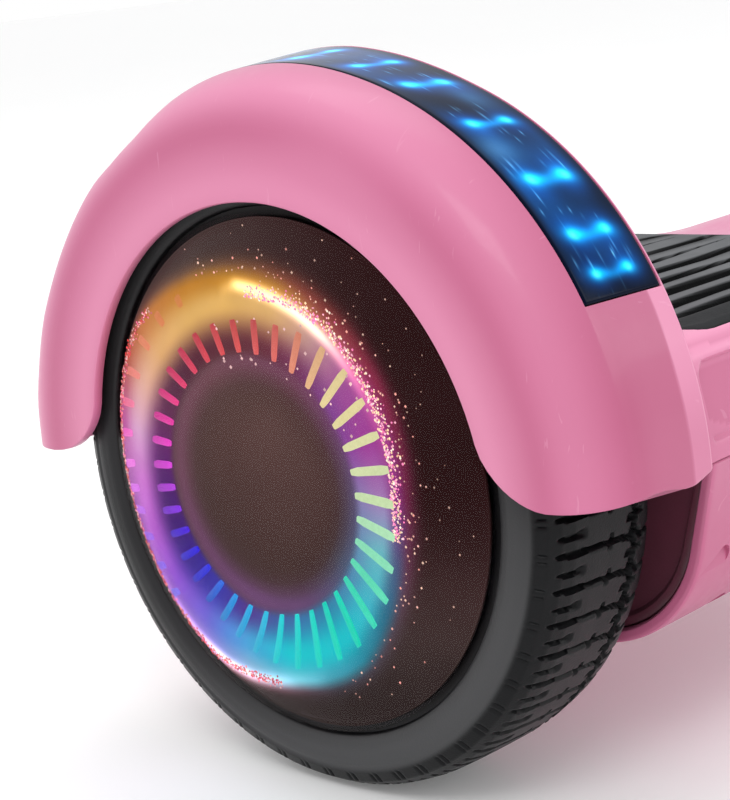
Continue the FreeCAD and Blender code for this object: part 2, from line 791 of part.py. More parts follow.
def frame(tag, bore):
    """Railed plate with an axle saddle outboard and a pivot boss on two necks inboard."""
    x0, x1 = -dim.plate_x0, -dim.plate_x1
    width, floor = dim.plate_w, dim.plate_z
    saddle_half = dim.saddle_w + 2
    neck_x0, neck_x1 = x1 - 6, -dim.boss_x0 + 8
    solid = fuse(
        "frame_solid" + tag,
        box("plate" + tag, x0, x1, -width, width, floor, floor + dim.plate_t),
        box("rail_f" + tag, x0, x1, -width, -width + dim.rail_t, floor, floor + dim.rail_h),
        box("rail_b" + tag, x0, x1, width - dim.rail_t, width, floor, floor + dim.rail_h),
        box("saddle" + tag, x0, -dim.saddle_x1 + 4, -saddle_half, saddle_half,
            66, hub_z - 0.1),
        cylinder("boss" + tag, WAIST, -dim.boss_x0, -dim.boss_x1, dim.boss_rad),
        box("neck_f" + tag, neck_x0, neck_x1, -24, -19, 64, 84),
        box("neck_b" + tag, neck_x0, neck_x1, 19, 24, 64, 84))
    holes = [
        cylinder("frame_bore" + tag, WAIST, -dim.boss_x0 - 6, -dim.boss_x1 + 1, bore),
        cylinder("frame_seat" + tag, AXLE, hub_x + 22, -dim.saddle_x1 + 14,
                 dim.axle_rad + 0.55)]
    holes += [
        cylinder("frame_bolt" + tag, ("Z", x, y), 60, 90, dim.bolt_rad + 0.05)
        for x, y in BOLTS]
    return cut("frame" + tag, solid, *holes)


def axle_clamp():
    block = box("clamp_block", -dim.saddle_x0, -dim.saddle_x1, -dim.saddle_w, dim.saddle_w,
                hub_z + 0.2, dim.clamp_top)
    seat = cylinder(
        "clamp_seat", AXLE, hub_x + 22, -dim.saddle_x1 + 14, dim.axle_rad + 0.02)
    holes = [
        cylinder("clamp_hole", ("Z", x, y), 70, 110, dim.bolt_rad + 0.2) for x, y in BOLTS]
    return cut("axle_clamp", block, seat, *holes)


def clamp_bolts():
    head_z = dim.clamp_top + 0.05
    bolts = []
    for k, (x, y) in enumerate(BOLTS):
        line = ("Z", x, y)
        blank = fuse(
            "bolt_blank_%d" % k,
            cylinder("bolt_head", line, head_z, head_z + 2.2, 5),
            cylinder("bolt_shank", line, 67, 94, dim.bolt_rad))
        socket = cylinder("bolt_socket", line, 94.6, 99, 2.4)
        bolts.append(cut("bolt_%d" % k, blank, socket))
    return group("clamp_bolts", *bolts)


# ---------------------------------------------------------------- centre pivot
GROOVE_X0, GROOVE_X1 = 60, 61.4  # circlip grooves, on both sides of the middle


def pivot_tube():
    return cut(
        "pivot_tube",
        tube("pivot_blank", WAIST, -64, 64, dim.tube_bore, dim.tube_rad),
        tube("circlip_groove_a", WAIST, -GROOVE_X1, -GROOVE_X0, 14, 17),
        tube("circlip_groove_b", WAIST, GROOVE_X0, GROOVE_X1, 14, 17))


def pivot_bushes():
    """Two bushes in the right frame's boss."""
    return group("pivot_bushes", *[
        tube(name, WAIST, x0, x1, dim.tube_rad + 0.04, dim.bush_rad)
        for name, x0, x1 in (("bush_a", 12, 30), ("bush_b", 42, 59.8))])


def circlip(tag, x0, x1):
    """A ring open at the bottom."""
    ring = tube("clip_ring" + tag, WAIST, x0, x1, 14.05, 18.6)
    gap = box("clip_gap" + tag, x0 - 1, x1 + 1, -3, 3, dim.waist_z - 24, dim.waist_z - 10)
    return cut("clip" + tag, ring, gap)


def pivot_circlips():
    x0, x1 = GROOVE_X0 + 0.1, GROOVE_X1 - 0.1
    return group("pivot_circlips", circlip("_a", -x1, -x0), circlip("_b", x0, x1))


def pivot_seal():
    return tube("pivot_seal", WAIST, -1.5, 1.2, 32, 36.8)


# ---------------------------------------------------------------- electrics
SPEAKER_X = 200
MOTOR_LOOM = ("X", 0, 85.5)


def battery_pack():
    return box("battery_pack", -203, -83, -35.5, 35.5, 38.4, 64)


def battery_bracket():
    """U-shaped band hung from the left frame's plate."""
    band = box("bracket_band", -152, -122, -38.5, 38.5, 36, dim.plate_z - 0.05)
    return cut("battery_bracket", band, box("bracket_room", -160, -110, -36.6, 36.6, 37.5, 80))


def control_board():
    """Board with its parts below it, on four stands up to the right frame's plate."""
    board_z = 58
    part_top = board_z + 0.2
    stands = [
        cylinder("stand" + tag, ("Z", x, y), 59, dim.plate_z - 0.02, 3)
        for tag, x, y in (("_a", 94, 34), ("_b", 94, -34), ("_c", 178, 34), ("_d", 178, -34))]
    return fuse(
        "control_board",
        box("control_pcb", 84, 186, -40, 40, board_z, board_z + 1.6),
        box("heat_sink", 92, 150, -30, -4, 46, part_top),
        cylinder("capacitor_a", ("Z", 166, 16), 40, part_top, 8),
        cylinder("capacitor_b", ("Z", 146, 18), 40, part_top, 8),
        box("plug_row", 100, 130, 12, 20, 49, part_top),
        *stands)


def speaker():
    line = ("Z", SPEAKER_X, 0)
    basket = doc.addObject("Part::Cone", "speaker_basket")
    basket.Radius1 = 21
    basket.Radius2 = 12
    basket.Height = 12
    place(basket, SPEAKER_X, 0, 37)
    return fuse(
        "speaker",
        cylinder("speaker_rim", line, 35.1, 38, 23),
        basket,
        cylinder("speaker_magnet", line, 48, 55, 13))


def power_button():
    face = dim.rear_y
    return fuse(
        "power_button",
        cylinder("button_cap", BUTTON, face - 4, face + 3.2, dim.button_rad),
        cylinder("button_stop", BUTTON, face - 6.2, face - 4, dim.button_rad + 1.5))


def power_button_bezel():
    face, button = dim.rear_y, dim.button_rad
    bore = button + 0.08
    return fuse(
        "power_button_bezel",
        tube("bezel_flange", BUTTON, face + 0.1, face + 2.2, bore, button + 3.4),
        tube("bezel_sleeve", BUTTON, face - 3.9, face + 0.4, bore, button + 1.9))


def charge_socket():
    face = dim.rear_y
    bore, sleeve = 6.3, 8.1
    pins = [
        cylinder("pin" + tag, ("Y", dim.socket_x + x, dim.control_z + z),
                 face - 9, face - 1.5, 1)
        for tag, x, z in (("_a", -3, 1.5), ("_b", 3, 1.5), ("_c", 0, -3))]
    return fuse(
        "charge_socket",
        tube("socket_flange", SOCKET, face + 0.1, face + 2.0, bore, 10.2),
        tube("socket_sleeve", SOCKET, face - 8, face + 0.4, bore, sleeve),
        cylinder("socket_back", SOCKET, face - 10, face - 7.8, sleeve),
        *pins)


def charge_cap():
    """Closed cap over the socket, with a tab and an upright hinge on its +X side."""
    face, mid_x, mid_z = dim.rear_y, dim.socket_x, dim.control_z
    back, top = face + 2.1, face + 4.4
    return fuse(
        "charge_cap",
        cylinder("cap_disc", SOCKET, back, top, 10.0),
        tube("cap_plug", SOCKET, face + 0.6, face + 2.4, 4.6, 5.9),
        box("cap_tab", mid_x + 8, mid_x + 12.6, back, top, mid_z - 3, mid_z + 3),
        cylinder("cap_hinge", ("Z", mid_x + 13.4, face + 3.3), mid_z - 3, mid_z + 3, 1.5))


def left_wiring():
    """The left motor's loom, its plug and the loom through the pivot tube."""
    return fuse(
        "left_wiring",
        cylinder("loom_motor_l", MOTOR_LOOM, -184, -84, 2.6),
        box("loom_plug_l", -88, -72, -7, 7, 68, 90),
        cylinder("loom_tube", WAIST, -73, 69, 5))


def right_wiring():
    return fuse(
        "right_wiring",
        cylinder("loom_motor_r", MOTOR_LOOM, 84, 184, 2.6),
        box("loom_plug_r", 73, 88, -7, 7, 68, 90))


# ---------------------------------------------------------------- assembly
# A function's name is also its piece's name.
for build in (
        tyre, rotor_ring, rotor_side_cover, rotor_magnets, stator, stator_windings, axle,
        bearing_inners, bearing_outers, hub_light_cover, hub_light_ring, shell_screws,
        fender_light_strip, wheel_well_liner, headlight_lens, foot_mat, sensor_board,
        axle_clamp, clamp_bolts):
    both(build.__name__, build())

barrel = fender_barrel()
both("upper_shell", upper_shell(barrel))
both("fender_light_lens", fender_light_lens(barrel))

tub_solid = tub_skin(
    "tub_outer", 0, -dim.body_end + 0.4, -dim.centre_gap, dim.seam_z - dim.seam_gap)
left_tub = left_lower_shell(tub_solid)
node("left_lower_shell", left_tub)
node("right_lower_shell", right_lower_shell(left_tub, tub_solid))

# the left frame grips the pivot tube, the right one holds the bushes
node("left_frame", frame("_l", dim.tube_rad + 0.01))
node("right_frame", mirrored("right_frame", frame("_r", dim.bush_rad + 0.02)))

for build in (
        pivot_tube, pivot_bushes, pivot_circlips, pivot_seal, battery_pack, battery_bracket,
        control_board, speaker, power_button, power_button_bezel, charge_socket, charge_cap,
        left_wiring, right_wiring):
    node(build.__name__, build())

doc.recompute()

# ---------------------------------------------------------------- validity and export
failed = [item.Name for item in doc.Objects if "Invalid" in item.State or "Error" in item.State]
if failed:
    raise RuntimeError("objects failed: " + ", ".join(failed))

# words that mark a piece made of several solids
SEVERAL = ("screws", "magnets", "windings", "bearing", "bolts", "bushes", "circlips")
for piece in pieces:
    name, shape = piece.Label, piece.Shape
    if shape.isNull() or not shape.isValid() or not shape.Solids:
        raise RuntimeError("bad shape: " + name)
    if len(shape.Solids) != 1 and not any(word in name for word in SEVERAL):
        raise RuntimeError("%s is in %d pieces" % (name, len(shape.Solids)))

os.makedirs("parts", exist_ok=True)
for piece in pieces:
    piece.Shape.exportStep("parts/%s.step" % piece.Label)
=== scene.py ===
"""A two-wheeled self-balancing board with lit fenders and hubs.

The axle runs along X and Z is up. The two halves meet at X = 0, the left one on the -X side, and
the front is towards -Y. Shapes are in millimetres and are drawn for the left half, then mirrored
in X for the right; node and light values are in metres. Angles about a wheel start at the front,
with 90 degrees at the top.
"""
import json
import math

import bmesh
import bpy
import numpy as np
from mathutils import Matrix, Vector


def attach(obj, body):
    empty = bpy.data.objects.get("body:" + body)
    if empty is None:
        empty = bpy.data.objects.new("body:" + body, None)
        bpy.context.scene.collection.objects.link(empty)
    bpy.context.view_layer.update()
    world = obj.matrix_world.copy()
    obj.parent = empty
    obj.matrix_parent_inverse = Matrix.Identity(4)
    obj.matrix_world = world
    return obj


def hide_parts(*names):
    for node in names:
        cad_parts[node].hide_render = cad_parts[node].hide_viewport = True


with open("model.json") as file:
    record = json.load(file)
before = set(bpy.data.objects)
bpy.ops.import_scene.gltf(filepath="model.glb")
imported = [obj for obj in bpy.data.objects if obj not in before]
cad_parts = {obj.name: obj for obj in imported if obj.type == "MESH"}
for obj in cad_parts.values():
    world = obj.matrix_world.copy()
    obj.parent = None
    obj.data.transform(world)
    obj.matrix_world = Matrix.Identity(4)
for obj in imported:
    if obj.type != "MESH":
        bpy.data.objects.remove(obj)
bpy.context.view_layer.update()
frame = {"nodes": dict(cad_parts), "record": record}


rng = np.random.default_rng(11)

WHEEL_X, AXLE_Z = -260.0, 82.5
SEAM_Z = 82.0                       # where the deck meets the belly


# ---------------------------------------------------------------- colour and blending

def linear(srgb):
    """sRGB fractions as linear light."""
    srgb = np.clip(srgb, 0, None)
    return np.where(srgb <= 0.04045, srgb / 12.92, ((srgb + 0.055) / 1.055) ** 2.4)


def paint(*percent):
    """An sRGB colour in percent, as a linear tuple."""
    return tuple(linear(np.array(percent) / 100).tolist())


def ramp(start, end, value):
    """Smooth step from 0 at start to 1 at end; start may be the larger."""
    part = np.clip((np.asarray(value, float) - start) / (end - start), 0, 1)
    return part * part * (3 - 2 * part)


def bell(value, centre, width):
    return np.exp(-(((value - centre) / width) ** 2))


def tint(field, colour):
    """A field of strengths times a colour."""
    return np.asarray(field)[..., None] * np.asarray(colour)


def around(degrees, keys):
    """Values round a circle, linear between rows of (angle, value, ...)."""
    keys = np.array(sorted((row[0] % 360, *row[1:]) for row in keys), float)
    angles = np.concatenate([keys[:, 0] - 360, keys[:, 0], keys[:, 0] + 360])
    degrees = np.asarray(degrees, float) % 360
    values = [np.interp(degrees, angles, np.tile(column, 3)) for column in keys[:, 1:].T]
    return values[0] if len(values) == 1 else np.stack(values, -1)


def hue(degrees, keys):
    """A colour round a circle, from rows of (angle, red, green, blue) in percent."""
    return around(degrees, keys) / 100


# ---------------------------------------------------------------- materials

MATERIALS = {}


class Material:
    """A small builder for a procedural node material."""

    def __init__(self, name, shader="BsdfPrincipled"):
        self.material = bpy.data.materials.new(name)
        self.material.use_nodes = True
        self.tree = self.material.node_tree
        self.tree.nodes.clear()
        output = self.node("OutputMaterial")
        self.shader = self.node(shader)
        self.feed(output.inputs[0], self.shader.outputs[0])
        self.coords = self.node("TexCoord").outputs["Object"]

    def feed(self, socket, value):
        """Link a socket to another, or give it a plain value."""
        if isinstance(value, bpy.types.NodeSocket):
            self.tree.links.new(value, socket)
        elif socket.type == "RGBA":
            socket.default_value = (*value, 1)
        else:
            socket.default_value = value

    def node(self, kind, **settings):
        """A node; each setting is one of its properties or else one of its inputs."""
        node = self.tree.nodes.new("ShaderNode" + kind)
        for key, value in settings.items():
            if hasattr(node, key):
                setattr(node, key, value)
            else:
                self.feed(node.inputs[key.replace("_", " ")], value)
        return node

    def set(self, **values):
        for key, value in values.items():
            self.feed(self.shader.inputs[key.replace("_", " ")], value)

    def noise(self, scale, detail=3.0, roughness=0.55, stretch=None, distortion=0.0):
        coords = self.coords
        if stretch:
            coords = self.node("Mapping", Scale=stretch, Vector=coords).outputs[0]
        return self.node("TexNoise", Scale=scale, Detail=detail, Roughness=roughness,
                         Distortion=distortion, Vector=coords).outputs[0]

    def remap(self, value, source=(0.3, 0.7), to=(0, 1)):
        return self.node("MapRange", From_Min=source[0], From_Max=source[1], To_Min=to[0],
                         To_Max=to[1], Value=value).outputs[0]

    def math(self, operation, *values):
        node = self.node("Math", operation=operation)
        for socket, value in zip(node.inputs, values):
            self.feed(socket, value)
        return node.outputs[0]

    def mix(self, factor, first, second, mode="MIX"):
        node = self.node("MixRGB", blend_type=mode)
        for socket, value in zip(node.inputs, (factor, first, second)):
            self.feed(socket, value)
        return node.outputs[0]

    def attribute(self, name):
        return self.node("Attribute", attribute_name=name).outputs["Color"]

    def geometry(self, name):
        return self.node("NewGeometry").outputs[name]

    def bump(self, height, strength, depth):
        node = self.node("Bump", Strength=strength, Distance=depth, Height=height)
        self.set(Normal=node.outputs[0])


def pink_gloss():
    """Shell paint: colour from 'tone', which holds painted light and shade; cloudy, with hairline
    marks and worn edges.
    """
    shell = Material("pink_gloss")
    tone = shell.attribute("tone")
    cloud = shell.noise(scale=14)
    colour = shell.mix(tone, paint(65.5, 25, 41), paint(93, 62, 75))
    blotch = shell.remap(cloud, source=(0.35, 0.65), to=(0, 0.14))
    colour = shell.mix(blotch, colour, paint(84, 43, 62))
    hair = shell.noise(scale=70, detail=2, roughness=0.6, stretch=(1.0, 9.0, 1.0), distortion=1.5)
    hair = shell.remap(hair, source=(0.70, 0.74), to=(0, 0.10))
    colour = shell.mix(hair, colour, paint(98, 80, 88))
    edge = shell.remap(shell.geometry("Pointiness"), source=(0.56, 0.66), to=(0, 0.55))
    patches = shell.remap(shell.noise(scale=160), source=(0.45, 0.7))
    colour = shell.mix(shell.math("MULTIPLY", edge, patches), colour, paint(97, 78, 86))
    rough = shell.mix(0.5, cloud, shell.noise(scale=300, detail=2))
    shell.set(Base_Color=colour, Roughness=shell.remap(rough, to=(0.30, 0.42)), Coat_Weight=0.12,
              Coat_Roughness=0.10, Specular_IOR_Level=0.26, Subsurface_Weight=0.0)
    shell.bump(shell.noise(scale=260, detail=2), strength=0.05, depth=0.0002)
    MATERIALS["pink_gloss"] = shell.material


def surface(name, first, second, rough, scale, fine, bump, depth, metal=0.0, coat=0.0,
            streak=None, dust=0.0, wear=None, specular=0.5, grain=0.0, grain_scale=1500):
    """An opaque finish: cloudy colour, fine bump, optional grain, dust and worn edges."""
    made = Material(name)
    cloud = made.noise(scale, detail=4)
    colour = made.mix(made.remap(cloud), paint(*first), paint(*second))
    tiny = made.noise(fine, detail=2, stretch=streak)
    if grain:
        speck = made.remap(made.noise(grain_scale, detail=1), source=(0.35, 0.65), to=(0, grain))
        colour = made.mix(speck, colour, (0.9, 0.9, 0.9))
    if dust:
        normal = made.node("SeparateXYZ", Vector=made.geometry("Normal"))
        upward = made.remap(normal.outputs[2], source=(0.2, 1), to=(0, dust))
        patches = made.remap(made.noise(scale * 2.5, detail=5), source=(0.45, 0.75))
        colour = made.mix(made.math("MULTIPLY", upward, patches), colour, paint(72, 69, 66))
    if wear:
        edge = made.remap(made.geometry("Pointiness"), source=(0.53, 0.6))
        patches = made.remap(made.noise(scale * 4), source=(0.45, 0.7))
        colour = made.mix(made.math("MULTIPLY", edge, patches), colour, paint(*wear))
    made.set(Base_Color=colour, Roughness=made.remap(made.mix(0.5, cloud, tiny), to=rough),
             Metallic=metal, Specular_IOR_Level=specular)
    if coat:
        made.set(Coat_Weight=coat, Coat_Roughness=0.04)
    made.bump(tiny, bump, depth / 1000)
    return made


# slot, material name, two clouded sRGB colours in percent, roughness range, cloud scale,
# fine noise scale, bump strength, bump depth (mm), other arguments of surface()
FINISHES = [
    ("dark_plastic", "dark_plastic", (20, 11, 14), (12, 7, 9), (0.42, 0.62), 30, 1400, 0.35, 0.2,
     dict(wear=(35, 30, 30))),
    # the wheel well's pink plastic, darkened to maroon as painted shade
    ("liner", "liner_shaded_pink", (42, 20, 27), (32, 15, 20), (0.38, 0.6), 25, 1500, 0.35, 0.2,
     dict(wear=(38, 30, 33))),
    ("tyre", "tyre_rubber", (6, 6.2, 7), (4, 4.2, 5), (0.30, 0.46), 60, 2400, 0.35, 0.25,
     dict(dust=0.006, wear=(15, 15, 16), specular=0.16)),
    ("seal_rubber", "seal_rubber", (11, 11, 11.5), (8, 8, 8.5), (0.6, 0.8), 60, 1800, 0.4, 0.2,
     dict(dust=0.06, wear=(25, 25, 25))),
    ("cast_alloy", "cast_alloy", (74, 75, 76), (62, 63, 65), (0.4, 0.6), 50, 900, 0.5, 0.4,
     dict(metal=1.0, wear=(90, 90, 90), grain=0.05)),
    ("steel", "machined_steel", (66, 67, 69), (55, 56, 58), (0.22, 0.38), 40, 500, 0.25, 0.2,
     dict(metal=1.0, streak=(12, 1, 1), wear=(85, 85, 87))),
    ("zinc_steel", "zinc_steel", (76, 76, 74), (66, 68, 70), (0.28, 0.42), 120, 900, 0.2, 0.2,
     dict(metal=1.0, wear=(90, 90, 88))),
    ("bearing_steel", "bearing_steel", (84, 84, 86), (76, 77, 79), (0.08, 0.2), 60, 500, 0.1, 0.1,
     dict(metal=1.0, streak=(1, 1, 10))),
    ("magnet", "magnet_nickel", (78, 78, 76), (68, 69, 70), (0.15, 0.3), 90, 700, 0.12, 0.1,
     dict(metal=1.0, wear=(90, 90, 90))),
    ("copper", "copper_wire", (80, 42, 22), (66, 32, 16), (0.25, 0.4), 80, 1600, 0.5, 0.3,
     dict(metal=0.9, streak=(18, 1, 1), wear=(95, 60, 40))),
    ("circuit_board", "circuit_board", (5, 34, 17), (3, 25, 13), (0.25, 0.4), 180, 900, 0.3, 0.2,
     dict(coat=0.3, grain=0.12, grain_scale=420)),
    ("battery_wrap", "battery_wrap", (8, 22, 52), (5, 16, 42), (0.2, 0.36), 35, 220, 0.5, 0.6,
     dict(coat=0.4, wear=(40, 50, 75))),
    ("cable", "cable_sleeve", (10, 10, 10.5), (7, 7, 7), (0.5, 0.7), 60, 900, 0.5, 0.4,
     dict(streak=(8, 1, 1), wear=(30, 30, 30))),
    ("bush_plastic", "bush_plastic", (88, 86, 78), (80, 77, 68), (0.35, 0.5), 60, 900, 0.2, 0.2,
     dict(dust=0.1)),
    ("button_metal", "button_metal", (80, 80, 82), (70, 70, 73), (0.2, 0.34), 60, 900, 0.2, 0.1,
     dict(metal=1.0, wear=(92, 92, 93))),
    ("mat_rubber", "mat_rubber", (43, 43.8, 44.8), (37, 37.7, 38.7), (0.5, 0.7), 40, 1500, 0.4,
     0.25, dict(wear=(50, 50, 50), grain=0.01, specular=0.03)),
    ("clear_lens", "frosted_lens", (86, 88, 90), (78, 82, 86), (0.18, 0.35), 60, 700, 0.35, 0.4,
     dict(coat=0.7)),
]


def opaque_finishes():
    for slot, *values, options in FINISHES:
        made = surface(*values, **options)
        base = made.shader.inputs["Base Color"]
        if slot == "tyre":
            # 'tone' mixes in grey: painted light on the outer wall, held back in the grooves as
            # painted shade
            colour = base.links[0].from_socket
            made.set(Base_Color=made.mix(made.attribute("tone"), colour, paint(27, 27, 27.5)))
        elif slot == "mat_rubber":
            colour = base.links[0].from_socket
            # 'tone' runs from near black, the painted shade of the grooves, to the rib colour, with
            # painted light across the ribs
            made.set(Base_Color=made.mix(made.attribute("tone"), paint(1.8, 2.2, 2.6), colour))
        elif slot == "clear_lens":
            made.set(Transmission_Weight=0.35, IOR=1.46)
        MATERIALS[slot] = made.material


def glowing(name, dark, rough, bump, grain, specular):
    """A lit surface: its light is in the 'glow' attribute, its unlit colour in 'tone'."""
    lit = Material(name)
    glow = lit.attribute("glow")
    ripple = lit.noise(scale=900, detail=2)
    gain = lit.mix(lit.remap(ripple), (1 - grain,) * 3, (1 + grain,) * 3)
    glow = lit.mix(1.0, glow, gain, "MULTIPLY")
    cloud = lit.remap(lit.noise(scale=60), to=(0, 0.35))
    lit.set(Base_Color=lit.mix(cloud, lit.attribute("tone"), paint(*dark)),
            Emission_Color=glow, Emission_Strength=1.0, Specular_IOR_Level=specular,
            Roughness=lit.remap(lit.noise(scale=500, detail=2), to=rough),
            Coat_Weight=0.0, Coat_Roughness=0.05)
    lit.bump(ripple, bump, depth=0.0002)
    MATERIALS[name] = lit.material


def smoked_cover():
    """Mostly see-through, with a sheen at glancing angles broken by fine wipe marks."""
    cover = Material("smoked_cover", shader="MixShader")
    facing = cover.node("LayerWeight", Blend=0.5).outputs["Facing"]
    cloud = cover.remap(cover.noise(scale=40))
    smoke = cover.mix(cloud, (0.93, 0.90, 0.90), (0.86, 0.83, 0.83))
    clear = cover.node("BsdfTransparent", Color=smoke)
    wipe = cover.noise(scale=120, roughness=0.6, stretch=(1, 1, 7), distortion=1.0)
    bump = cover.node("Bump", Strength=0.006, Distance=0.0001, Height=wipe)
    rough = cover.remap(wipe, source=(0.3, 0.75), to=(0.06, 0.22))
    gloss = cover.node("BsdfGlossy", Color=(0.9, 0.88, 0.88), Roughness=rough,
                       Normal=bump.outputs[0])
    head_on, glancing, falloff = 0.003, 0.22, 5.0       # share of gloss, and its curve
    sheen = cover.math("MULTIPLY", cover.math("POWER", facing, falloff), glancing)
    parts = (cover.math("ADD", head_on, sheen), clear.outputs[0], gloss.outputs[0])
    for socket, value in zip(cover.shader.inputs, parts):
        cover.feed(socket, value)
    MATERIALS["smoked_cover"] = cover.material


pink_gloss()
opaque_finishes()
glowing("blue_lens", dark=(1, 3, 8), rough=(0.08, 0.16), bump=0.02, grain=0.03, specular=0.035)
glowing("hub_plate", dark=(0.6, 0.4, 0.4), rough=(0.45, 0.6), bump=0.0, grain=0.012, specular=0.0)
glowing("light_bar", dark=(3, 3, 3), rough=(0.3, 0.45), bump=0.1, grain=0.05, specular=0.1)
smoked_cover()


# ---------------------------------------------------------------- mesh helpers
# A mesh is a pair: an array of points and a list of faces.

def grid(points, close_rows=False, close_columns=False):
    """Quads over a grid of points (rows, columns, 3)."""
    rows, columns = points.shape[:2]
    i = np.arange(rows if close_rows else rows - 1)[:, None]
    k = np.arange(columns if close_columns else columns - 1)[None]
    next_i, next_k = (i + 1) % rows, (k + 1) % columns
    corners = np.broadcast_arrays(i * columns + k, next_i * columns + k,
                                  next_i * columns + next_k, i * columns + next_k)
    return points.reshape(-1, 3), np.stack(corners, -1).reshape(-1, 4).tolist()


def merge(*meshes):
    points, faces, count = [], [], 0
    for part, part_faces in meshes:
        points.append(np.asarray(part, float))
        faces += [[i + count for i in face] for face in part_faces]
        count += len(part)
    return np.concatenate(points), faces


def loft(rings):
    """A closed solid through rings of points, with its two end caps."""
    rings = np.array(rings)
    points, faces = grid(rings, close_columns=True)
    count, size = rings.shape[:2]
    last = [(count - 1) * size + i for i in range(size)]
    return points, faces + [list(range(size))[::-1], last]


def slab(top, bottom):
    """A closed solid between two sheets of points of the same shape."""
    count = top[..., 0].size
    index = np.arange(count).reshape(top.shape[:2])
    rim = np.concatenate([index[0, :], index[1:, -1], index[-1, -2::-1], index[-2:0:-1, 0]])
    sides = [[int(a), int(b), int(b) + count, int(a) + count]
             for a, b in zip(rim, np.roll(rim, -1))]
    points, faces = merge(grid(top), grid(bottom))
    return points, faces + sides


def section(outline, axis, place):
    """A flat outline set square to an axis, at a place along it."""
    return np.insert(np.asarray(outline, float), "XYZ".index(axis), place, axis=1)


def prism(outline, axis, start, end):
    return loft([section(outline, axis, start), section(outline, axis, end)])


def circle(first, second, radius, steps):
    angle = np.linspace(0, 2 * math.pi, steps, endpoint=False)
    return np.stack([first + radius * np.cos(angle), second + radius * np.sin(angle)], -1)


def split(start, end, steps):
    """Points on a straight run, both ends included."""
    start, end = np.asarray(start, float), np.asarray(end, float)
    return start + (end - start) * np.arange(steps + 1)[:, None] / steps


def corner_arc(before, corner, after, radius, steps):
    """The arc that rounds a corner between its two neighbours."""
    before, corner, after = (np.array(point, float) for point in (before, corner, after))
    ways = [(point - corner) / np.linalg.norm(point - corner) for point in (before, after)]
    half = math.acos(np.clip(ways[0] @ ways[1], -1, 1)) / 2
    middle = (ways[0] + ways[1]) / np.linalg.norm(ways[0] + ways[1])
    centre = corner + middle * (radius / math.sin(half))
    reach = radius / math.tan(half)
    first, last = (math.atan2(*(corner + way * reach - centre)[::-1]) for way in ways)
    turn = (last - first + math.pi) % (2 * math.pi) - math.pi
    angle = first + turn * np.arange(steps + 1) / steps
    return centre + radius * np.stack([np.cos(angle), np.sin(angle)], -1)


def rounded(corners, steps):
    """A closed outline through corners (first, second, radius)."""
    count = len(corners)
    return np.vstack([corner_arc(corners[i - 1][:2], corners[i][:2],
                                 corners[(i + 1) % count][:2], corners[i][2], steps)
                      for i in range(count)])


def rounded_box(left, right, low, high, radii, steps):
    """A rounded rectangle; radii run from the low left corner by way of the low right."""
    spots = ((left, low), (right, low), (right, high), (left, high))
    return rounded([(*spot, radius) for spot, radius in zip(spots, radii)], steps)


def axle_points(x, radius, angle, centre=(WHEEL_X, AXLE_Z)):
    """Points at an X offset, a radius and an angle in radians about the axle."""
    return np.stack(np.broadcast_arrays(centre[0] + x, -radius * np.cos(angle),
                                        centre[1] + radius * np.sin(angle)), -1)


def turned_x(profile, steps, centre=(WHEEL_X, AXLE_Z)):
    """A closed profile of (X offset, radius) turned about a line along X."""
    profile = np.array(profile, float)
    angle = np.linspace(0, 2 * math.pi, steps, endpoint=False)[:, None]
    return grid(axle_points(profile[:, 0], profile[:, 1], angle, centre), True, True)


def turned_y(profile, steps, centre):
    """A closed profile of (Y offset, radius) turned about a line along Y."""
    offset, radius = np.array(profile, float).T
    angle = np.linspace(0, 2 * math.pi, steps, endpoint=False)[:, None]
    points = np.broadcast_arrays(centre[0] + radius * np.cos(angle), centre[1] + offset,
                                 centre[2] + radius * np.sin(angle))
    return grid(np.stack(points, -1), True, True)


def curve(table, x, column=1):
    """Monotone cubic through a table's first column and another of its columns."""
    table, x = np.asarray(table, float), np.asarray(x, float)
    at, value = table[:, 0], table[:, column]
    gap = np.diff(at)
    slope = np.diff(value) / gap
    tangent = np.zeros(len(at))
    tangent[0], tangent[-1] = slope[0], slope[-1]
    for i in range(1, len(at) - 1):
        if slope[i - 1] * slope[i] > 0:
            before, after = 2 * gap[i] + gap[i - 1], gap[i] + 2 * gap[i - 1]
            tangent[i] = (before + after) / (before / slope[i - 1] + after / slope[i])
    k = np.clip(np.searchsorted(at, x) - 1, 0, len(gap) - 1)
    part = np.clip((x - at[k]) / gap[k], 0, 1)
    return hermite(part, value[k], value[k + 1], gap[k] * tangent[k], gap[k] * tangent[k + 1])


def hermite(part, start, end, start_slope, end_slope):
    square, cube = part**2, part**3
    return ((2 * cube - 3 * square + 1) * start + (cube - 2 * square + part) * start_slope
            + (-2 * cube + 3 * square) * end + (cube - square) * end_slope)


def mesh_object(name, mesh):
    data = bpy.data.meshes.new(name)
    data.from_pydata((np.asarray(mesh[0], float) / 1000.0).tolist(), [], mesh[1])
    work = bmesh.new()
    work.from_mesh(data)
    bmesh.ops.recalc_face_normals(work, faces=work.faces)
    work.to_mesh(data)
    work.free()
    made = bpy.data.objects.new(name, data)
    bpy.context.scene.collection.objects.link(made)
    return made


def carve(mesh, *cutters):
    """A mesh with each cutter taken away in turn."""
    body = mesh_object("carve_body", mesh)
    tools = []
    for k, cutter in enumerate(cutters):
        tool = mesh_object("carve_tool_%d" % k, cutter)
        tools.append(tool)
        modifier = body.modifiers.new("b%d" % k, "BOOLEAN")
        modifier.operation = "DIFFERENCE"
        modifier.solver = "EXACT"
        modifier.object = tool
    carved = body.evaluated_get(bpy.context.evaluated_depsgraph_get())
    data = bpy.data.meshes.new_from_object(carved)
    points = np.zeros(len(data.vertices) * 3)
    data.vertices.foreach_get("co", points)
    faces = [list(polygon.vertices) for polygon in data.polygons]
    for spent in tools + [body]:
        bpy.data.objects.remove(spent, do_unlink=True)
    return points.reshape(-1, 3) * 1000.0, faces


def mirrored(mesh):
    return mesh[0] * [-1, 1, 1], mesh[1]


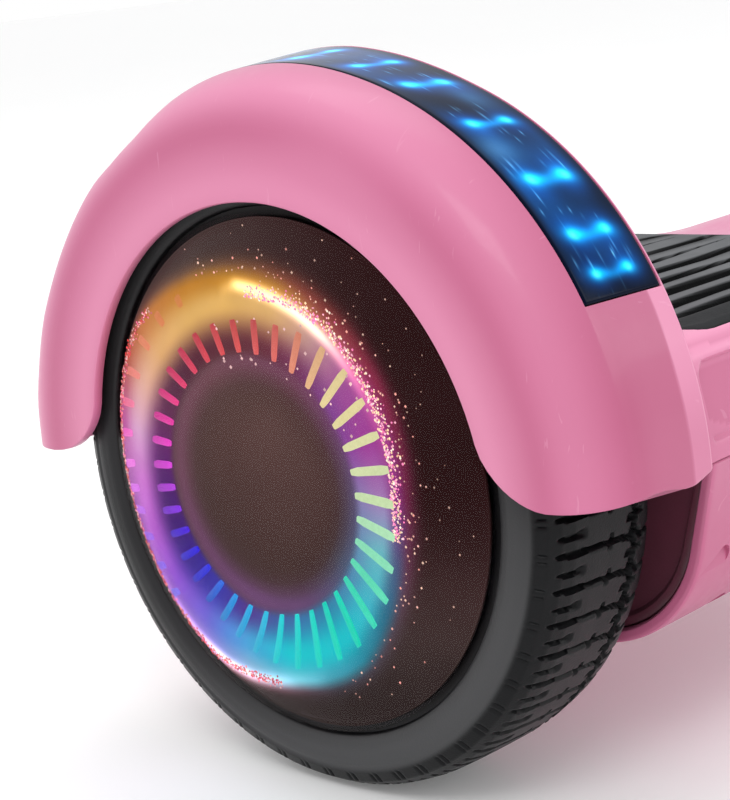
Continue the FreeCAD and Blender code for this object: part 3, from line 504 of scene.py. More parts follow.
def piece(name, mesh, body, material, sharp, slot=None, replaces=True, **colours):
    """A finished object; each colour is one value for all points or one for each point."""
    made = mesh_object("vis_" + name, mesh)
    data = made.data
    for key, values in colours.items():
        values = np.asarray(values, float)
        if values.ndim == 1:
            values = values[:, None]
        rgba = np.ones((len(mesh[0]), 4), np.float32)
        rgba[:, :3] = values
        layer = data.attributes.new(key, "FLOAT_COLOR", "POINT")
        layer.data.foreach_set("color", rgba.ravel())
    data.materials.append(MATERIALS[material])
    data.polygons.foreach_set("use_smooth", [True] * len(data.polygons))
    data.set_sharp_from_angle(angle=math.radians(sharp))
    data.update()
    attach(made, body)
    if replaces:
        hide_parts(name)


def both(name, mesh, body, material, **options):
    """The same piece on the left and, mirrored, on the right."""
    for side, sided in (("left", mesh), ("right", mirrored(mesh))):
        piece(f"{side}_{name}", sided, f"{side}_{body}", material, **options)


# ---------------------------------------------------------------- fender

FENDER_FOOT = 0.5           # height of the fender's lower edge above the axle
ARCH_EDGE = 68.8            # radius of the wheel arch's edge
ARCH_ROUND = (87.5, 22.5, 22.0)     # rounding of the arch's ends: distance from axle, height, radius
WALL_END = 24.0             # height above the axle at which the inner wall ends
CROWN_START, CROWN_SPAN = -11.6, 30.2
CROWN_RADIUS, CROWN_DROP = 99.5, 2.0
SHOULDER_X, SHOULDER_RADIUS = -16.7, 98.42

# radius, X offset of the outer cheek
CHEEK = [(68.8, -27.4), (76, -27.5), (84, -27.45), (87, -27.25), (89.8, -26.6), (92.3, -25.4),
         (94.5, -23.6)]
# X offset, radius: from cheek to crown
SHOULDER = [(-22.5, 95.5), (-21.2, 96.4), (-19.8, 97.2), (-18.2, 97.9),
            (SHOULDER_X, SHOULDER_RADIUS), (-15, 98.9), (-13.3, 99.25), (-12.1, 99.44)]
# X offset, drop below the crown where it is sunk for the light strip
CHANNEL = [(-11.75, 0.02), (-11.5, 0.12), (-11.4, 0.35)]
CHANNEL += [(x, 2.4) for x in (-11.38, -8, -4, 0, 4, 8, 10.8, 11.6, 12.2, 12.8, 13.4, 15.5, 18.66)]
CHANNEL += [(18.68, 0.3), (18.78, 0.1)]
# X offset, radius: from the crown over the edge nearest the board's middle
INBOARD_EDGE = [(18.95, 97.44), (19.3, 97.33), (19.7, 97.1), (20.6, 96.45), (22.1, 95.2),
                (23.5, 94.0), (23.9, 93.65), (24.25, 93.3), (24.4, 92.9), (24.42, 92.5),
                (24.6, 92.32), (25.0, 92.22), (25.22, 92.0), (25.3, 91.5)]
# radius, X offset of the wall on the side of the board's middle
WALL = [(34, 28), (50, 27.6), (66, 27), (78, 26.2), (86, 25.4), (92, 25.25)]
# X offset, radius: underside of the crown
UNDERSIDE = [(21.6, 87.0), (19.5, 88.6)] + [(x, 89.0) for x in (16, 8, 0, -8, -15)]
# radius, X offset: inside of the cheek
CHEEK_INSIDE = [(68.8, -24.35), (78, -24.35), (83.5, -23.2), (87.5, -20), (89, -15)]
# angle, rise of the crown at its edge nearest the board's middle
LIFT = [(0, 0), (66, 0), (74, 0.5), (80, 1.2), (86, 2.1), (92, 3.3), (98, 4.3), (104, 5.2),
        (112, 6.0), (122, 6.0), (134, 4.6), (146, 3.0), (156, 1.8), (170, 0.6), (180, 0.3)]
# angle, rise of the whole crown
GROW = [(0, 0), (70, 0.2), (90, 0.8), (100, 0.9), (107, 0.4), (113, -0.6), (119, -1.4),
        (125, -1.2), (131, -0.3), (138, 0.0), (146, 0.5), (152, 1.1), (158, 2.0), (166, 2.6),
        (173, 3.4), (180, 3.3)]
# height above the foot, inset of the closed profile
FOOT_RINGS = [(0, 0.55), (0.12, 0.2), (0.5, 0), (1.1, 0), (1.9, 0), (3.0, 0), (4.4, 0), (6.2, 0),
              (8.4, 0), (11, 0), (14, 0), (16.6, 0)]
FIRST_ANGLE = 15.6
FENDER_ANGLES = [FIRST_ANGLE, 18, 20.5, 23, 25, 25.6, 25.90, 25.98, *np.arange(27, 90, 1.5), 90]
CHANNEL_ANGLE = 25.95


def crown(x):
    return CROWN_RADIUS - (np.asarray(x, float) - CROWN_START) * CROWN_DROP / CROWN_SPAN


def lifted(x, radius, angle):
    """Radius of a fender point once the crown rises towards the rear."""
    degrees = np.clip(np.degrees(angle), 0, 180)
    rise = curve(LIFT, degrees) * np.clip((x - CROWN_START) / CROWN_SPAN, 0, 1.15)
    return radius + (rise + curve(GROW, degrees)) * ramp(78, 93, radius)


def fender_profile(edge, wall_end, sunk=0, ease=0.0):
    """The wall's closed profile (X offset, radius); ease rounds the crown's outer shoulder."""
    cheek_radius = (edge + 0.7) + np.linspace(0, 1, 20) ** 1.25 * (94.5 - edge - 0.7)
    cheek_x = curve(CHEEK, cheek_radius)
    start = float(cheek_x[0])
    wall_radius = 91.5 + (wall_end - 91.5) * np.arange(1, 11) / 10
    inner_radius = 88.95 + (edge + 0.5 - 88.95) * np.arange(14) / 13
    wall, inside = np.array(WALL).T, np.array(CHEEK_INSIDE).T
    inner = np.column_stack([np.interp(inner_radius, *inside), inner_radius])
    inner[-1] = (max(start + 2.9, -24.4) if edge < 84 else start + 2.9,
                 edge + (0.5 if edge > 86 else 0.35))
    profile = np.vstack([
        [(start + 2.2, edge + 0.02), (start + 1.2, edge), (start + 0.55, edge + 0.06),
         (start + 0.16, edge + 0.3)],
        np.column_stack([cheek_x, cheek_radius]),
        SHOULDER,
        [(x, crown(x) - drop * sunk) for x, drop in CHANNEL],
        INBOARD_EDGE,
        np.column_stack([np.interp(wall_radius, *wall), wall_radius]),
        [(22.4, wall_end + 0.2 + (84.5 - wall_end - 0.2) * k / 8) for k in range(9)],
        UNDERSIDE,
        inner])
    x, radius = profile.T
    part = (x - SHOULDER_X) / -SHOULDER_X
    soft = hermite(part, SHOULDER_RADIUS, crown(0), 0.27 * -SHOULDER_X,
                   -CROWN_DROP / CROWN_SPAN * -SHOULDER_X)
    near = (x > SHOULDER_X) & (x < 0) & (radius > 98)
    profile[:, 1] = np.where(near, radius + (soft - radius) * ease, radius)
    return profile


def shrink(profile, inset):
    """A closed profile drawn in all round."""
    ahead = np.roll(profile, -1, 0)
    along = ahead - np.roll(profile, 1, 0)
    along /= np.maximum(np.linalg.norm(along, axis=1), 1e-9)[:, None]
    normal = np.stack([along[:, 1], -along[:, 0]], 1)
    area = np.sum(profile[:, 0] * ahead[:, 1] - ahead[:, 0] * profile[:, 1])
    return profile - normal * inset * (1 if area > 0 else -1)


def fender():
    """A half ring over the wheel, with level feet at front and rear."""
    rings = []
    away, up, bend = ARCH_ROUND
    for rise, inset in FOOT_RINGS:
        z = FENDER_FOOT + rise
        edge = max(math.hypot(away - math.sqrt(bend**2 - (z - up) ** 2), z), ARCH_EDGE)
        profile = fender_profile(edge, 86.6, ease=1.0)
        if inset:
            profile = shrink(profile, inset)
        x, radius = profile.T
        bow = 2.3 * bell(x, 10.5, 8.0) * (1 - ramp(19, 25, x)) * ramp(88, 95, radius)
        height = z - bow * (1 - rise / 17.0)
        rings.append((profile, np.arcsin(np.clip(height / radius, -1, 1))))
    # one ring half way between the last level one and the first radial one
    profile = fender_profile(ARCH_EDGE, 88.0, ease=1.0)
    level = np.arcsin((FENDER_FOOT + FOOT_RINGS[-1][0]) / profile[:, 1])
    rings.append((profile, 0.5 * level + 0.5 * math.radians(FIRST_ANGLE)))
    for degrees in FENDER_ANGLES:
        angle = math.radians(degrees)
        rings.append((fender_profile(ARCH_EDGE, WALL_END / math.sin(angle),
                                     sunk=int(degrees > CHANNEL_ANGLE),
                                     ease=float(ramp(26.0, 18.5, degrees))), angle))
    rings += [(profile, math.pi - angle) for profile, angle in rings[-2::-1]]
    return loft([axle_points(profile[:, 0], lifted(*profile.T, angle), angle)
                 for profile, angle in rings])


# ---------------------------------------------------------------- deck and belly sections

# X, half width, height of the top, radius of the shoulders
BODY = [(-237, 93.2, 111.5, 9), (-140, 87.5, 111.5, 9), (-118, 81.2, 111.5, 11),
        (-95, 69.2, 111.6, 18), (-70, 55.8, 113.9, 26), (-45, 46.2, 114.8, 28),
        (-20, 41.2, 115, 29), (-1.5, 39.4, 115, 29)]
# X, fall of the shoulders
SHOULDER_FALL = [(-237, 0), (-98, 0), (-92, 1.4), (-84, 3.4), (-70, 5.6), (-57, 7.8), (-45, 9.4),
                 (-20, 10.5), (-1.5, 10.5)]
# X, distances from the centre line at which the fall starts and is complete
FALL_REACH = [(-237, 8, 46), (-92, 8, 40), (-84, 9, 34), (-70, 8, 38), (-45, 9, 40),
              (-1.5, 7, 36.5)]
# X, height of the underside
BELLY = [(-237, 32.0), (-118, 32.0), (-95, 32.15), (-70, 33.05), (-45, 34.15), (-20, 34.75),
         (-1.5, 35)]
# X, radius of the belly's corners
BELLY_ROUND = [(-237, 36), (-95, 36), (-70, 34), (-45, 33), (-20, 32), (-1.5, 32)]
WHEEL_HALF, WAIST_HALF = BODY[0][1], BODY[-1][1]


def flare(x):
    """0 at the waist, 1 at the wheel end."""
    return (curve(BODY, x) - WAIST_HALF) / (WHEEL_HALF - WAIST_HALF)


def open_path(half, lean, end_z, middle_z, radius, counts):
    """Side, corner, middle, corner, side; counts are steps per side, corner and middle."""
    start, first = (-half, end_z), (lean - half, middle_z)
    second, end = (half - lean, middle_z), (half, end_z)
    side, turn, middle = counts
    arcs = (corner_arc(start, first, second, radius, turn),
            corner_arc(first, second, end, radius, turn))
    return np.vstack([split(start, arcs[0][0], side)[:-1], arcs[0],
                      split(arcs[0][-1], arcs[1][0], middle)[1:-1], arcs[1],
                      split(arcs[1][-1], end, side)[1:]])


def upper_path(x, inset):
    top = curve(BODY, x, 2) - inset * (2.3 if x < -96 else 1.0)
    path = open_path(curve(BODY, x) - inset, 6.0 * flare(x), SEAM_Z, top,
                     curve(BODY, x, 3) - inset, (26, 12, 36))
    # towards the waist the shoulders fall away and leave a rounded hump
    fall = curve(SHOULDER_FALL, x) * ramp(curve(FALL_REACH, x), curve(FALL_REACH, x, 2),
                                          np.abs(path[:, 0]))
    path[:, 1] -= fall * (path[:, 1] - SEAM_Z) / (top - SEAM_Z)
    return path


def lower_path(x, inset, counts=(22, 22, 20), top=SEAM_Z - 0.2):
    return open_path(curve(BODY, x) - 0.2 - inset, 12.8 * flare(x), top,
                     curve(BELLY, x) + inset, curve(BELLY_ROUND, x) - inset, counts)


def shell_ring(x, outer, inner, ease):
    """A thin wall's section; ease is the step in height of the chamfer on its rims."""
    (y0, z0), (y1, z1) = outer[0], outer[-1]
    step = abs(ease)
    loop = np.vstack([[(y0 + step, z0), (y0, z0 + ease)], outer[1:-1],
                      [(y1, z1 + ease), (y1 - step, z1)], inner[::-1]])
    return section(loop, "X", x)


def panel_depth(x, z):
    """The shallow panel sunk in the deck's front and rear faces, its outer end rounded."""
    outer_end, top, bend = -231.6, 105.6, 5.0
    along, above = outer_end + bend - x, z - (top - bend)
    inside = np.where((along > 0) & (above > 0), bend - np.hypot(along, above),
                      np.minimum(x - outer_end, top - z))
    return 1.35 * ramp(0, 1.3, inside) * (1 - ramp(-110, -96, x)) * ramp(86.0, 87.2, z)


# X, Y, corner radius of the foot mat's +Y half
MAT_CORNERS = [(-230, 83.5, 13), (-144, 80, 16), (-112, 68.5, 14), (-100, 53, 8)]


def mat_outline(gap):
    """The foot mat's outline, grown by a gap."""
    (x0, y0, r0), *middle, (x1, y1, r1) = MAT_CORNERS
    half = [(x0 - gap, y0 + gap, r0 + gap), *((x, y + gap, r) for x, y, r in middle),
            (x1 + gap, y1 + gap, r1)]
    other = [(x, -y, r) for x, y, r in half]
    return rounded([other[0], *half, *other[:0:-1]], 8)


def deck():
    stations = np.concatenate([[-236.6], np.arange(-234, -219, 0.6), np.arange(-219, -122, 3.0),
                               np.arange(-122, -2.2, 3.0), [-2.0, -1.5]])
    rings = []
    for x in stations:
        outer = upper_path(x, 0.35 if x > -1.6 else 0.0)
        y, z = outer.T
        outer[:, 0] -= np.sign(y) * panel_depth(x, z) * (np.abs(y) > 30)
        rings.append(shell_ring(x, outer, upper_path(x, 3.0), 0.35))
    return carve(loft(rings), prism(mat_outline(0.6), "Z", 107.5, 125))


def upper_tone(points):
    """Brightness of the upper shell's pink: painted reflection bands, painted highlights and painted
    shade.
    """
    along, y, z = points.T
    radius = np.hypot(y, z - AXLE_Z)
    x = along - WHEEL_X
    angle = np.degrees(np.arctan2(z - AXLE_Z, -y))
    cheek = 1 - ramp(-20, -6, x)
    # painted reflection bands: brighter outer rim, darker band inside it, brighter arch edge
    tone = 0.42 + 0.30 * bell(radius, 96.0, 5.0) * ramp(25, 80, angle) * cheek
    tone += cheek * (0.20 * bell(radius, 72.5, 5) - 0.22 * bell(radius, 86, 5))
    # painted highlight on the edge of the crown nearest the board's middle
    tone += (0.85 * ramp(18.75, 19.1, x) * (1 - ramp(23.0, 24.4, x)) * (radius > 90)
             * (0.45 + 0.55 * ramp(20, 30, angle)))
    # shade down the front of the fender
    front = (y < 0) * ramp(80, 15, angle) * (radius > 84)
    tone -= 0.30 * ramp(-24, -8, x) * (x < 26) * front
    # painted highlight standing in for a lit facet below the light strip
    facet_highlight = (y < 0) * (1 - ramp(26, 27, angle)) * (radius > 90)
    tone += (facet_highlight * 0.60 * ramp(12.0, 12.9, x + 0.8 * ramp(26, 14, angle))
             * (1 - 0.55 * ramp(18.9, 20.2, x)) * (1 - 0.45 * ramp(16, 4, angle)))
    # the deck: painted light, a bright top and darker sides, and a painted highlight along the top
    # edge beside the mat towards the wheel
    tone += 0.20 * ((x > 26) & (z > 106)) - 0.16 * ((x > 26) & (z < 103))
    tone += 0.40 * (x > 26) * ramp(108.0, 110.5, z) * ramp(-100, -118, along)
    # overall level, a shaded lower front, and a soft highlight on the cheek
    tone = 0.09 + 0.85 * tone
    tone -= (front * ramp(40, 8, angle) * (1 - ramp(10, 13, x)) * ramp(-27, -18, x)
             * (0.01 + 0.05 * ramp(2, -11, x)))
    tone += 0.14 * cheek * bell(radius, 85, 5) * bell(angle, 66, 14)
    return np.clip(tone, 0, 1)


def upper_shell():
    mesh = merge(fender(), deck())
    both("upper_shell", mesh, "half", "pink_gloss", sharp=32, tone=upper_tone(mesh[0]))


# ---------------------------------------------------------------- lower shell

# X, inset of the outer skin, inset of the inner skin
TUB_END = [(-233.55, 1.3, 2.35), (-233.5, 0.8, 2.7), (-233.2, 0.32, 3.0), (-232.7, 0.08, 3.2),
           (-232.0, 0, 3.3), (-231, 0, 3.3)]
TUB_WAIST = [(-2.0, 0, 3.3), (-1.5, 0.4, 3.0)]
POSTS = [(-208, 70), (-208, -70), (-150, 69), (-150, -69), (-50, 33), (-50, -33)]    # X, Y
POST_BORE, POST_RADIUS = 3.8, 5.5

# small pieces on the rear face of the right half
PANEL_Y = 84.5
PANEL_Z = 70
BUTTON_X, CAP_X = 192, 164


def tub():
    """The belly with its headlight opening, slanted slots and screw bores."""
    stations = [*TUB_END, *((x, 0, 3.3) for x in np.arange(-228, -2.4, 3.0)), *TUB_WAIST]
    body = loft([shell_ring(x, lower_path(x, outer), lower_path(x, inner), -0.35)
                 for x, outer, inner in stations])
    cosine, sine = math.cos(math.radians(32)), math.sin(math.radians(32))
    slot = rounded_box(-9, 9, -2.6, 2.6, (2.5,) * 4, 8)
    slot = slot @ np.array([[cosine, sine], [-sine, cosine]]) + [WHEEL_X + 32.0, AXLE_Z - 30.2]
    opening = rounded_box(-204, -148, 61.5, 70.5, (4.3,) * 4, 8)
    sides = merge(prism(opening, "Y", -100, -75), prism(slot, "Y", -96, -84.6),
                  prism(slot, "Y", 84.6, 96))
    bores = merge(*(prism(circle(x, y, POST_BORE, 24), "Z", 25, 60) for x, y in POSTS))
    return carve(body, sides, bores)


def belly_z(x, y):
    """Height of the belly's outer skin at a point."""
    path = lower_path(x, 0.0)
    path = path[(path[:, 0] > 0) & (path[:, 1] < 74)]
    order = np.argsort(path[:, 0])
    return float(np.interp(abs(y), path[order, 0], path[order, 1]))


def post_wall(x, y):
    """The open tube of a screw post, its lower end following the belly."""
    top = SEAM_Z - 0.3
    bore, wall = circle(x, y, POST_BORE, 32), circle(x, y, POST_RADIUS, 32)
    return grid(np.array([[(*inner, belly_z(*inner) + 0.25), (*outer, belly_z(*outer) + 1.2),
                           (*outer, top), (*inner, top)]
                          for inner, outer in zip(bore, wall)]), True, True)


def lower_shell(side, mesh):
    # painted light and shade: the belly's pink darker than the deck's, lighter towards its top
    tone = 0.27 + 0.08 * ramp(60, 82, mesh[0][:, 2])
    piece(side + "_lower_shell", mesh, side + "_half", "pink_gloss", sharp=32, tone=tone)


def lower_shells():
    body = tub()
    walls = merge(*(post_wall(x, y) for x, y in POSTS))
    lower_shell("left", merge(body, walls))
    # the right belly also has a sunk panel at the rear and a 3 by 7 field of slits
    pocket = rounded_box(151, 204, 59.4, 80.6, (9, 9, 3, 3), 8)
    slits = []
    for i in range(3):
        for k in range(7):
            x, y = 200 + (i - 1) * 9, (k - 3) * 6
            outline = rounded_box(x - 3, x + 3, y - 1.2, y + 1.2, (1.15,) * 4, 4)
            slits.append(prism(outline, "Z", 28, 40))
    right = carve(mirrored(body), prism(pocket, "Y", PANEL_Y, 100), merge(*slits))
    plate = prism(rounded_box(149.6, 205.4, 58.2, 81.6, (9, 9, 3, 3), 8), "Y", 81.5, 84.45)
    holes = [prism(circle(x, PANEL_Z, radius, 40), "Y", 78, 90)
             for x, radius in ((BUTTON_X, 9.0), (CAP_X, 8.2))]
    lower_shell("right", merge(right, carve(plate, merge(*holes)), mirrored(walls)))


# X, inset from the belly: raised border, flat, stiffening rib, flat
LINER = [(-229.0, 3.9), (-231.0, 3.5), (-231.9, 3.9), (-232.1, 4.6), (-231.9, 5.8), (-230.6, 6.8),
         (-230.3, 9.5), (-230.3, 22.0), (-230.9, 23.2), (-230.9, 24.4), (-230.3, 25.6),
         (-230.3, 30.0)]


def wheel_well_liner():
    """A pressed plate with a round hole for the axle."""
    rings = [section(lower_path(-233, inset, (12, 16, 12), SEAM_Z - 0.8 - inset * 0.2), "X", x)
             for x, inset in LINER]
    mesh = carve(loft(rings), prism(circle(0, AXLE_Z, 11.2, 40), "X", -240, -220))
    both("wheel_well_liner", mesh, "half", "liner", slot="dark_plastic", sharp=35)


def headlight_lens():
    """A bar with rounded ends and a ribbed front."""
    start, end, middle, radius = -203.6, -148.4, 66, 4.1
    rings = []
    for i, x in enumerate(np.linspace(start, end, 57)):
        inward = max(radius - min(x - start, end - x), 0)
        half = math.sqrt(max(radius**2 - inward**2, 0.05))
        rib = 0.35 * (i % 2)
        upper = [(-83.2 - rib, half * 0.6), (-82.0 - rib, half), (-79, half)]
        outline = upper + [(y, -z) for y, z in upper[::-1]]
        rings.append(section([(y, middle + z) for y, z in outline], "X", x))
    both("headlight_lens", loft(rings), "half", "clear_lens", sharp=20)


# ---------------------------------------------------------------- light strip in the crown

LAMP_ANGLES = [29.6, 35.6, 45, 56.8, 68.9, 78.5, 90, 101.5, 111.1, 123.2, 135, 144.4, 150.4]
LAMP_ROWS = [(-2.5, 1.0), (10.0, 0.92)]     # X offset, strength
STRIP_RADIUS = 98.5                         # turns angle into length along the strip
# strength, angle, its spread, X offset, its spread of the pale patches
PALE_PATCHES = [(1.0, 51, 3.2, -4, 6), (0.7, 63, 3.5, 9, 5), (0.6, 116, 4, -3, 6)]


def add_lamps(glow, x, arc):
    """Lamp pairs: core, halo and wide glow, a bridge between the two, and flecks beside them."""
    for k, degrees in enumerate(LAMP_ANGLES):
        place = math.radians(degrees) * STRIP_RADIUS
        size = 1.05 + 0.35 * ((k * 7) % 5) / 4
        for row, gain in LAMP_ROWS:
            off = x - row
            skew = arc - place + 0.10 * off
            # spread along X, spread along the arc, colour
            for wide, long, colour in ((1.25 * size, 1.0 * size, (0.34, 0.36, 0.25)),
                                       (3.0 * size, 1.75 * size, (0.0, 0.40, 0.40)),
                                       (5.6, 3.9 * size, (0.0, 0.17, 0.42))):
                glow += gain * tint(bell(off, 0, wide) * bell(skew, 0, long), colour)
        bridge = bell(arc + 0.6 * np.sin(x / 2.4), place, 1.35 * size)
        glow += tint(bridge * ramp(-6, -1, x) * ramp(14, 9, x), (0.0, 0.34, 0.46))
        for _ in range(10):
            fleck_x = rng.uniform(-8, 14)
            fleck_arc = place + rng.uniform(2.5, 8.0) * (1 if rng.random() < 0.6 else -1)
            length = rng.uniform(0.8, 2.4)
            fleck = bell(x, fleck_x, 0.24) * bell(arc, fleck_arc, length)
            glow += tint(fleck, (0.45, 0.62, 0.68)) * rng.uniform(0.15, 0.75)


def fender_light_lens():
    rows, columns = ((560, 72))
    degrees, x = np.meshgrid(np.linspace(26.12, 153.88, rows),
                             np.linspace(-11.15, 18.45, columns), indexing="ij")
    angle = np.radians(degrees)
    arc = angle * STRIP_RADIUS
    across = (x - x[0, 0]) / (x[0, -1] - x[0, 0])
    # deep blue ground in soft patches, fading at the strip's ends
    patch = 0.55 + 0.45 * np.sin(arc / 6.2 + 0.8 * np.sin(x / 5.0)) * np.cos(x / 9 + arc / 17)
    patch *= ramp(0, 0.12, across) * (1 - 0.75 * ramp(0.82, 1.0, across))
    fade = ramp(26.0, 31.0, degrees) * ramp(154.0, 149.0, degrees)
    glow = tint((0.35 + 0.95 * patch) * (0.18 + 0.82 * fade), (0.05, 0.21, 0.38))
    for gain, at, long, middle, wide in PALE_PATCHES:
        pale = gain * bell(degrees, at, long) * bell(x, middle, wide)
        glow += tint(pale, (0.20, 0.30, 0.38))
    add_lamps(glow, x, arc)
    ends = np.minimum(np.abs(degrees - degrees[0, 0]), np.abs(degrees - degrees[-1, 0])) * 1.7
    rim = np.minimum(np.minimum(x - x[0, 0], x[0, -1] - x), ends)
    glow *= ramp(0.1, 1.3, rim)[..., None]
    radius = crown(x) + 0.15 * np.sin(np.pi * across) - 0.30 * (1 - ramp(0, 0.7, rim)) ** 2
    mesh = slab(axle_points(x, lifted(x, radius, angle), angle),
                axle_points(x, lifted(x, crown(x), angle) - 2.3, angle))
    lit = np.zeros((len(mesh[0]), 3))
    lit[:x.size] = linear(np.clip(glow, 0, 1.0)).reshape(-1, 3)
    both("fender_light_lens", mesh, "half", "blue_lens", sharp=50, glow=lit,
         tone=linear([[0.012, 0.04, 0.13]]))


# ---------------------------------------------------------------- tyre

# X offset, radius, steps to the next point
TYRE = [(-19.6, 64.1, 2), (-19.6, 66.9, 1), (-20.4, 67.2, 1), (-21.0, 67.6, 3), (-21.9, 70.5, 3),
        (-21.9, 73.4, 7), (-21.2, 77.0, 6), (-19.6, 79.9, 6), (-16.6, 81.6, 7), (-12.5, 82.35, 10),
        (-6, 82.5, 14), (2, 82.5, 17), (10, 82.4, 9), (15.5, 81.4, 6), (18.6, 78.2, 5),
        (20.0, 72.0, 4), (19.2, 64.1, 0)]
TREAD_PITCH = 2 * math.pi / 58


def groove(distance, half, soft=0.28):
    """1 inside a groove, falling to 0 over its soft edge."""
    return 1 - ramp(half - soft, half + soft, np.abs(distance))


def tyre():
    runs = [split(start[:2], end[:2], start[2])[:-1] for start, end in zip(TYRE, TYRE[1:])]
    profile = np.vstack([*runs, TYRE[-1][:2]])
    turn = np.linspace(0, 2 * math.pi, 1160, endpoint=False)
    angle, x = np.meshgrid(turn, profile[:, 0], indexing="ij")
    radius = np.broadcast_to(profile[:, 1], x.shape)

    def off_line(phase, period=TREAD_PITCH, at_radius=82.0):
        """Distance in mm from the nearest of a row of cross lines; phase is in pitches."""
        return ((angle + phase * TREAD_PITCH) % period - period / 2) * at_radius

    long_line, short_line = off_line(0), off_line(0.5)
    bow = 0.9 * ramp(2.5, 8.5, x) + 0.35 * np.sin((x + 8) / 7.0)
    half = np.interp(x, [-17.5, -14, -3, 0, 3, 8.2], [0.35, 0.75, 0.6, 0.45, 0.55, 0.7])
    long_cut = groove(long_line + bow, half) * ramp(-18.3, -16.4, x) * (1 - ramp(7.9, 8.6, x))
    cross = groove(x - 0.3 - 0.25 * long_line, 0.55) * groove(long_line + 0.1, 1.7)
    short_cut = groove(short_line, np.interp(x, [-17.5, -14.5, -9.5], [0.28, 0.55, 0.85]))
    short_cut *= ramp(-17.8, -16.4, x) * (1 - ramp(-9.6, -8.9, x))
    # a zigzag groove round the tyre, with notches on both its sides
    zigzag = 9.1 + 0.9 * (np.abs(((angle / TREAD_PITCH * 2) % 2) - 1) * 2 - 1)
    ring = groove(x - zigzag, 0.85)
    notch = groove(x - zigzag + 2.1, 1.0) * groove(short_line + 0.8, 0.75)
    notch += groove(x - zigzag - 2.0, 0.9) * groove(off_line(0.27, TREAD_PITCH / 2), 0.55)
    shoulder = groove(off_line(0.13) + 0.7 * np.sin((x - 11) * 0.9), 0.6)
    shoulder *= ramp(10.2, 11.3, x) * (1 - ramp(18.8, 19.6, x))
    depth = np.maximum.reduce([2.3 * long_cut, 1.9 * cross, 1.9 * short_cut, 2.6 * ring,
                               1.8 * notch, 2.0 * shoulder]) * (radius > 76.5)
    # paired fine cuts and one raised line on the outer wall
    cut_line = off_line(0, at_radius=78.5)
    fine = groove(cut_line - 0.95, 0.26, 0.2) + groove(cut_line + 0.95, 0.26, 0.2)
    fine *= ramp(77.0, 77.5, radius) * (1 - ramp(79.6, 80.2, radius)) * (x < -17)
    line = bell(radius, 75.7, 0.35) * (x < -17) * 0.25
    mesh = grid(axle_points(x + 0.55 * fine + line, radius - depth, angle), True, True)
    # painted light: the outer wall paler, most of all at the lower front, and painted shade
    # darkening the grooves
    away = (np.degrees(angle) + 60) % 360
    light = 0.30 + 0.70 * np.exp(-((np.minimum(away, 360 - away) / 62.0) ** 4))
    wall = (ramp(-20.3, -21.0, x) * (1 - ramp(75.6, 77.6, radius))
            * (0.85 + 0.15 * ramp(68, 72, radius)) * light)
    both("tyre", mesh, "wheel", "tyre", sharp=60,
         tone=(wall * np.clip(1 - depth * 0.8, 0.05, 1)).ravel())


# ---------------------------------------------------------------- hub lights
# Tables start with the angle in degrees; colours are red, green, blue in percent.

# radii: outer, middle and inner limits of the lit band
BAND_OUTER = [(-110, 57), (-90, 52.5), (-60, 49.5), (-45, 47), (-30, 45.3), (-15, 44.2), (0, 44),
              (15, 45), (30, 46), (45, 47.3), (60, 48.5), (75, 50), (90, 51), (105, 52.5),
              (120, 55), (135, 59), (150, 62.5), (165, 64), (215, 64), (235, 63)]
BAND_MIDDLE = [(-110, 46), (-90, 44), (-60, 42), (-40, 39.5), (-20, 38.5), (0, 38.5), (20, 38.5),
               (40, 39.5), (60, 42), (80, 44), (100, 45), (120, 46), (140, 47.5), (155, 49.5),
               (170, 51), (185, 51.5), (200, 54), (215, 54), (230, 51)]
BAND_INNER = [(-110, 34.2), (-90, 33.2), (-60, 32.2), (0, 31.4), (30, 31.4), (60, 32.0),
              (90, 32.8), (120, 33.4), (150, 34.2), (180, 34.8), (215, 34.4)]
# how far out the inner colour holds, and the softness of the outer edge
INNER_HOLD = [(-40, 0), (20, 0), (60, 0.8), (100, 2.2), (180, 4.5), (215, 5.5), (240, 2.5),
              (270, 1)]
EDGE_SOFT = [(0, 2.2), (60, 2.0), (110, 3.2), (170, 3.0), (230, 3.0), (290, 3.2)]
# colours of the band at its inner, middle and outer limits
INNER_HUE = [(-110, 35, 25, 62), (-90, 28, 45, 72), (-60, 22, 58, 75), (-40, 35, 62, 80),
             (-20, 45, 65, 80), (0, 60, 55, 78), (20, 60, 32, 68), (40, 55, 30, 62),
             (60, 50, 25, 42), (80, 45, 22, 28), (100, 42, 22, 26), (120, 40, 20, 26),
             (140, 38, 20, 30), (155, 42, 20, 36), (170, 42, 15, 45), (185, 35, 12, 48),
             (200, 28, 10, 50), (215, 25, 15, 62), (232, 25, 25, 74)]
MIDDLE_HUE = [(-110, 30, 72, 95), (-90, 10, 88, 93), (-60, 12, 85, 90), (-40, 30, 80, 88),
              (-20, 45, 80, 85), (0, 70, 55, 80), (20, 68, 28, 66), (40, 66, 34, 64),
              (60, 80, 62, 62), (80, 96, 78, 50), (100, 97, 78, 44), (120, 98, 79, 46),
              (140, 99, 78, 52), (155, 98, 77, 70), (170, 91, 70, 88), (185, 88, 50, 92),
              (200, 78, 38, 92), (215, 60, 32, 92), (230, 46, 42, 93), (240, 35, 60, 95)]
OUTER_HUE = [(-110, 60, 80, 95), (-90, 40, 82, 90), (-60, 18, 62, 72), (-40, 20, 48, 60),
             (-20, 35, 38, 55), (0, 55, 20, 52), (20, 58, 18, 48), (40, 68, 26, 44),
             (60, 74, 42, 36), (80, 82, 58, 26), (100, 82, 58, 20), (120, 84, 57, 20),
             (140, 88, 56, 30), (155, 80, 45, 38), (170, 82, 42, 70), (185, 72, 36, 76),
             (200, 66, 32, 80), (215, 62, 38, 85), (232, 62, 56, 92)]
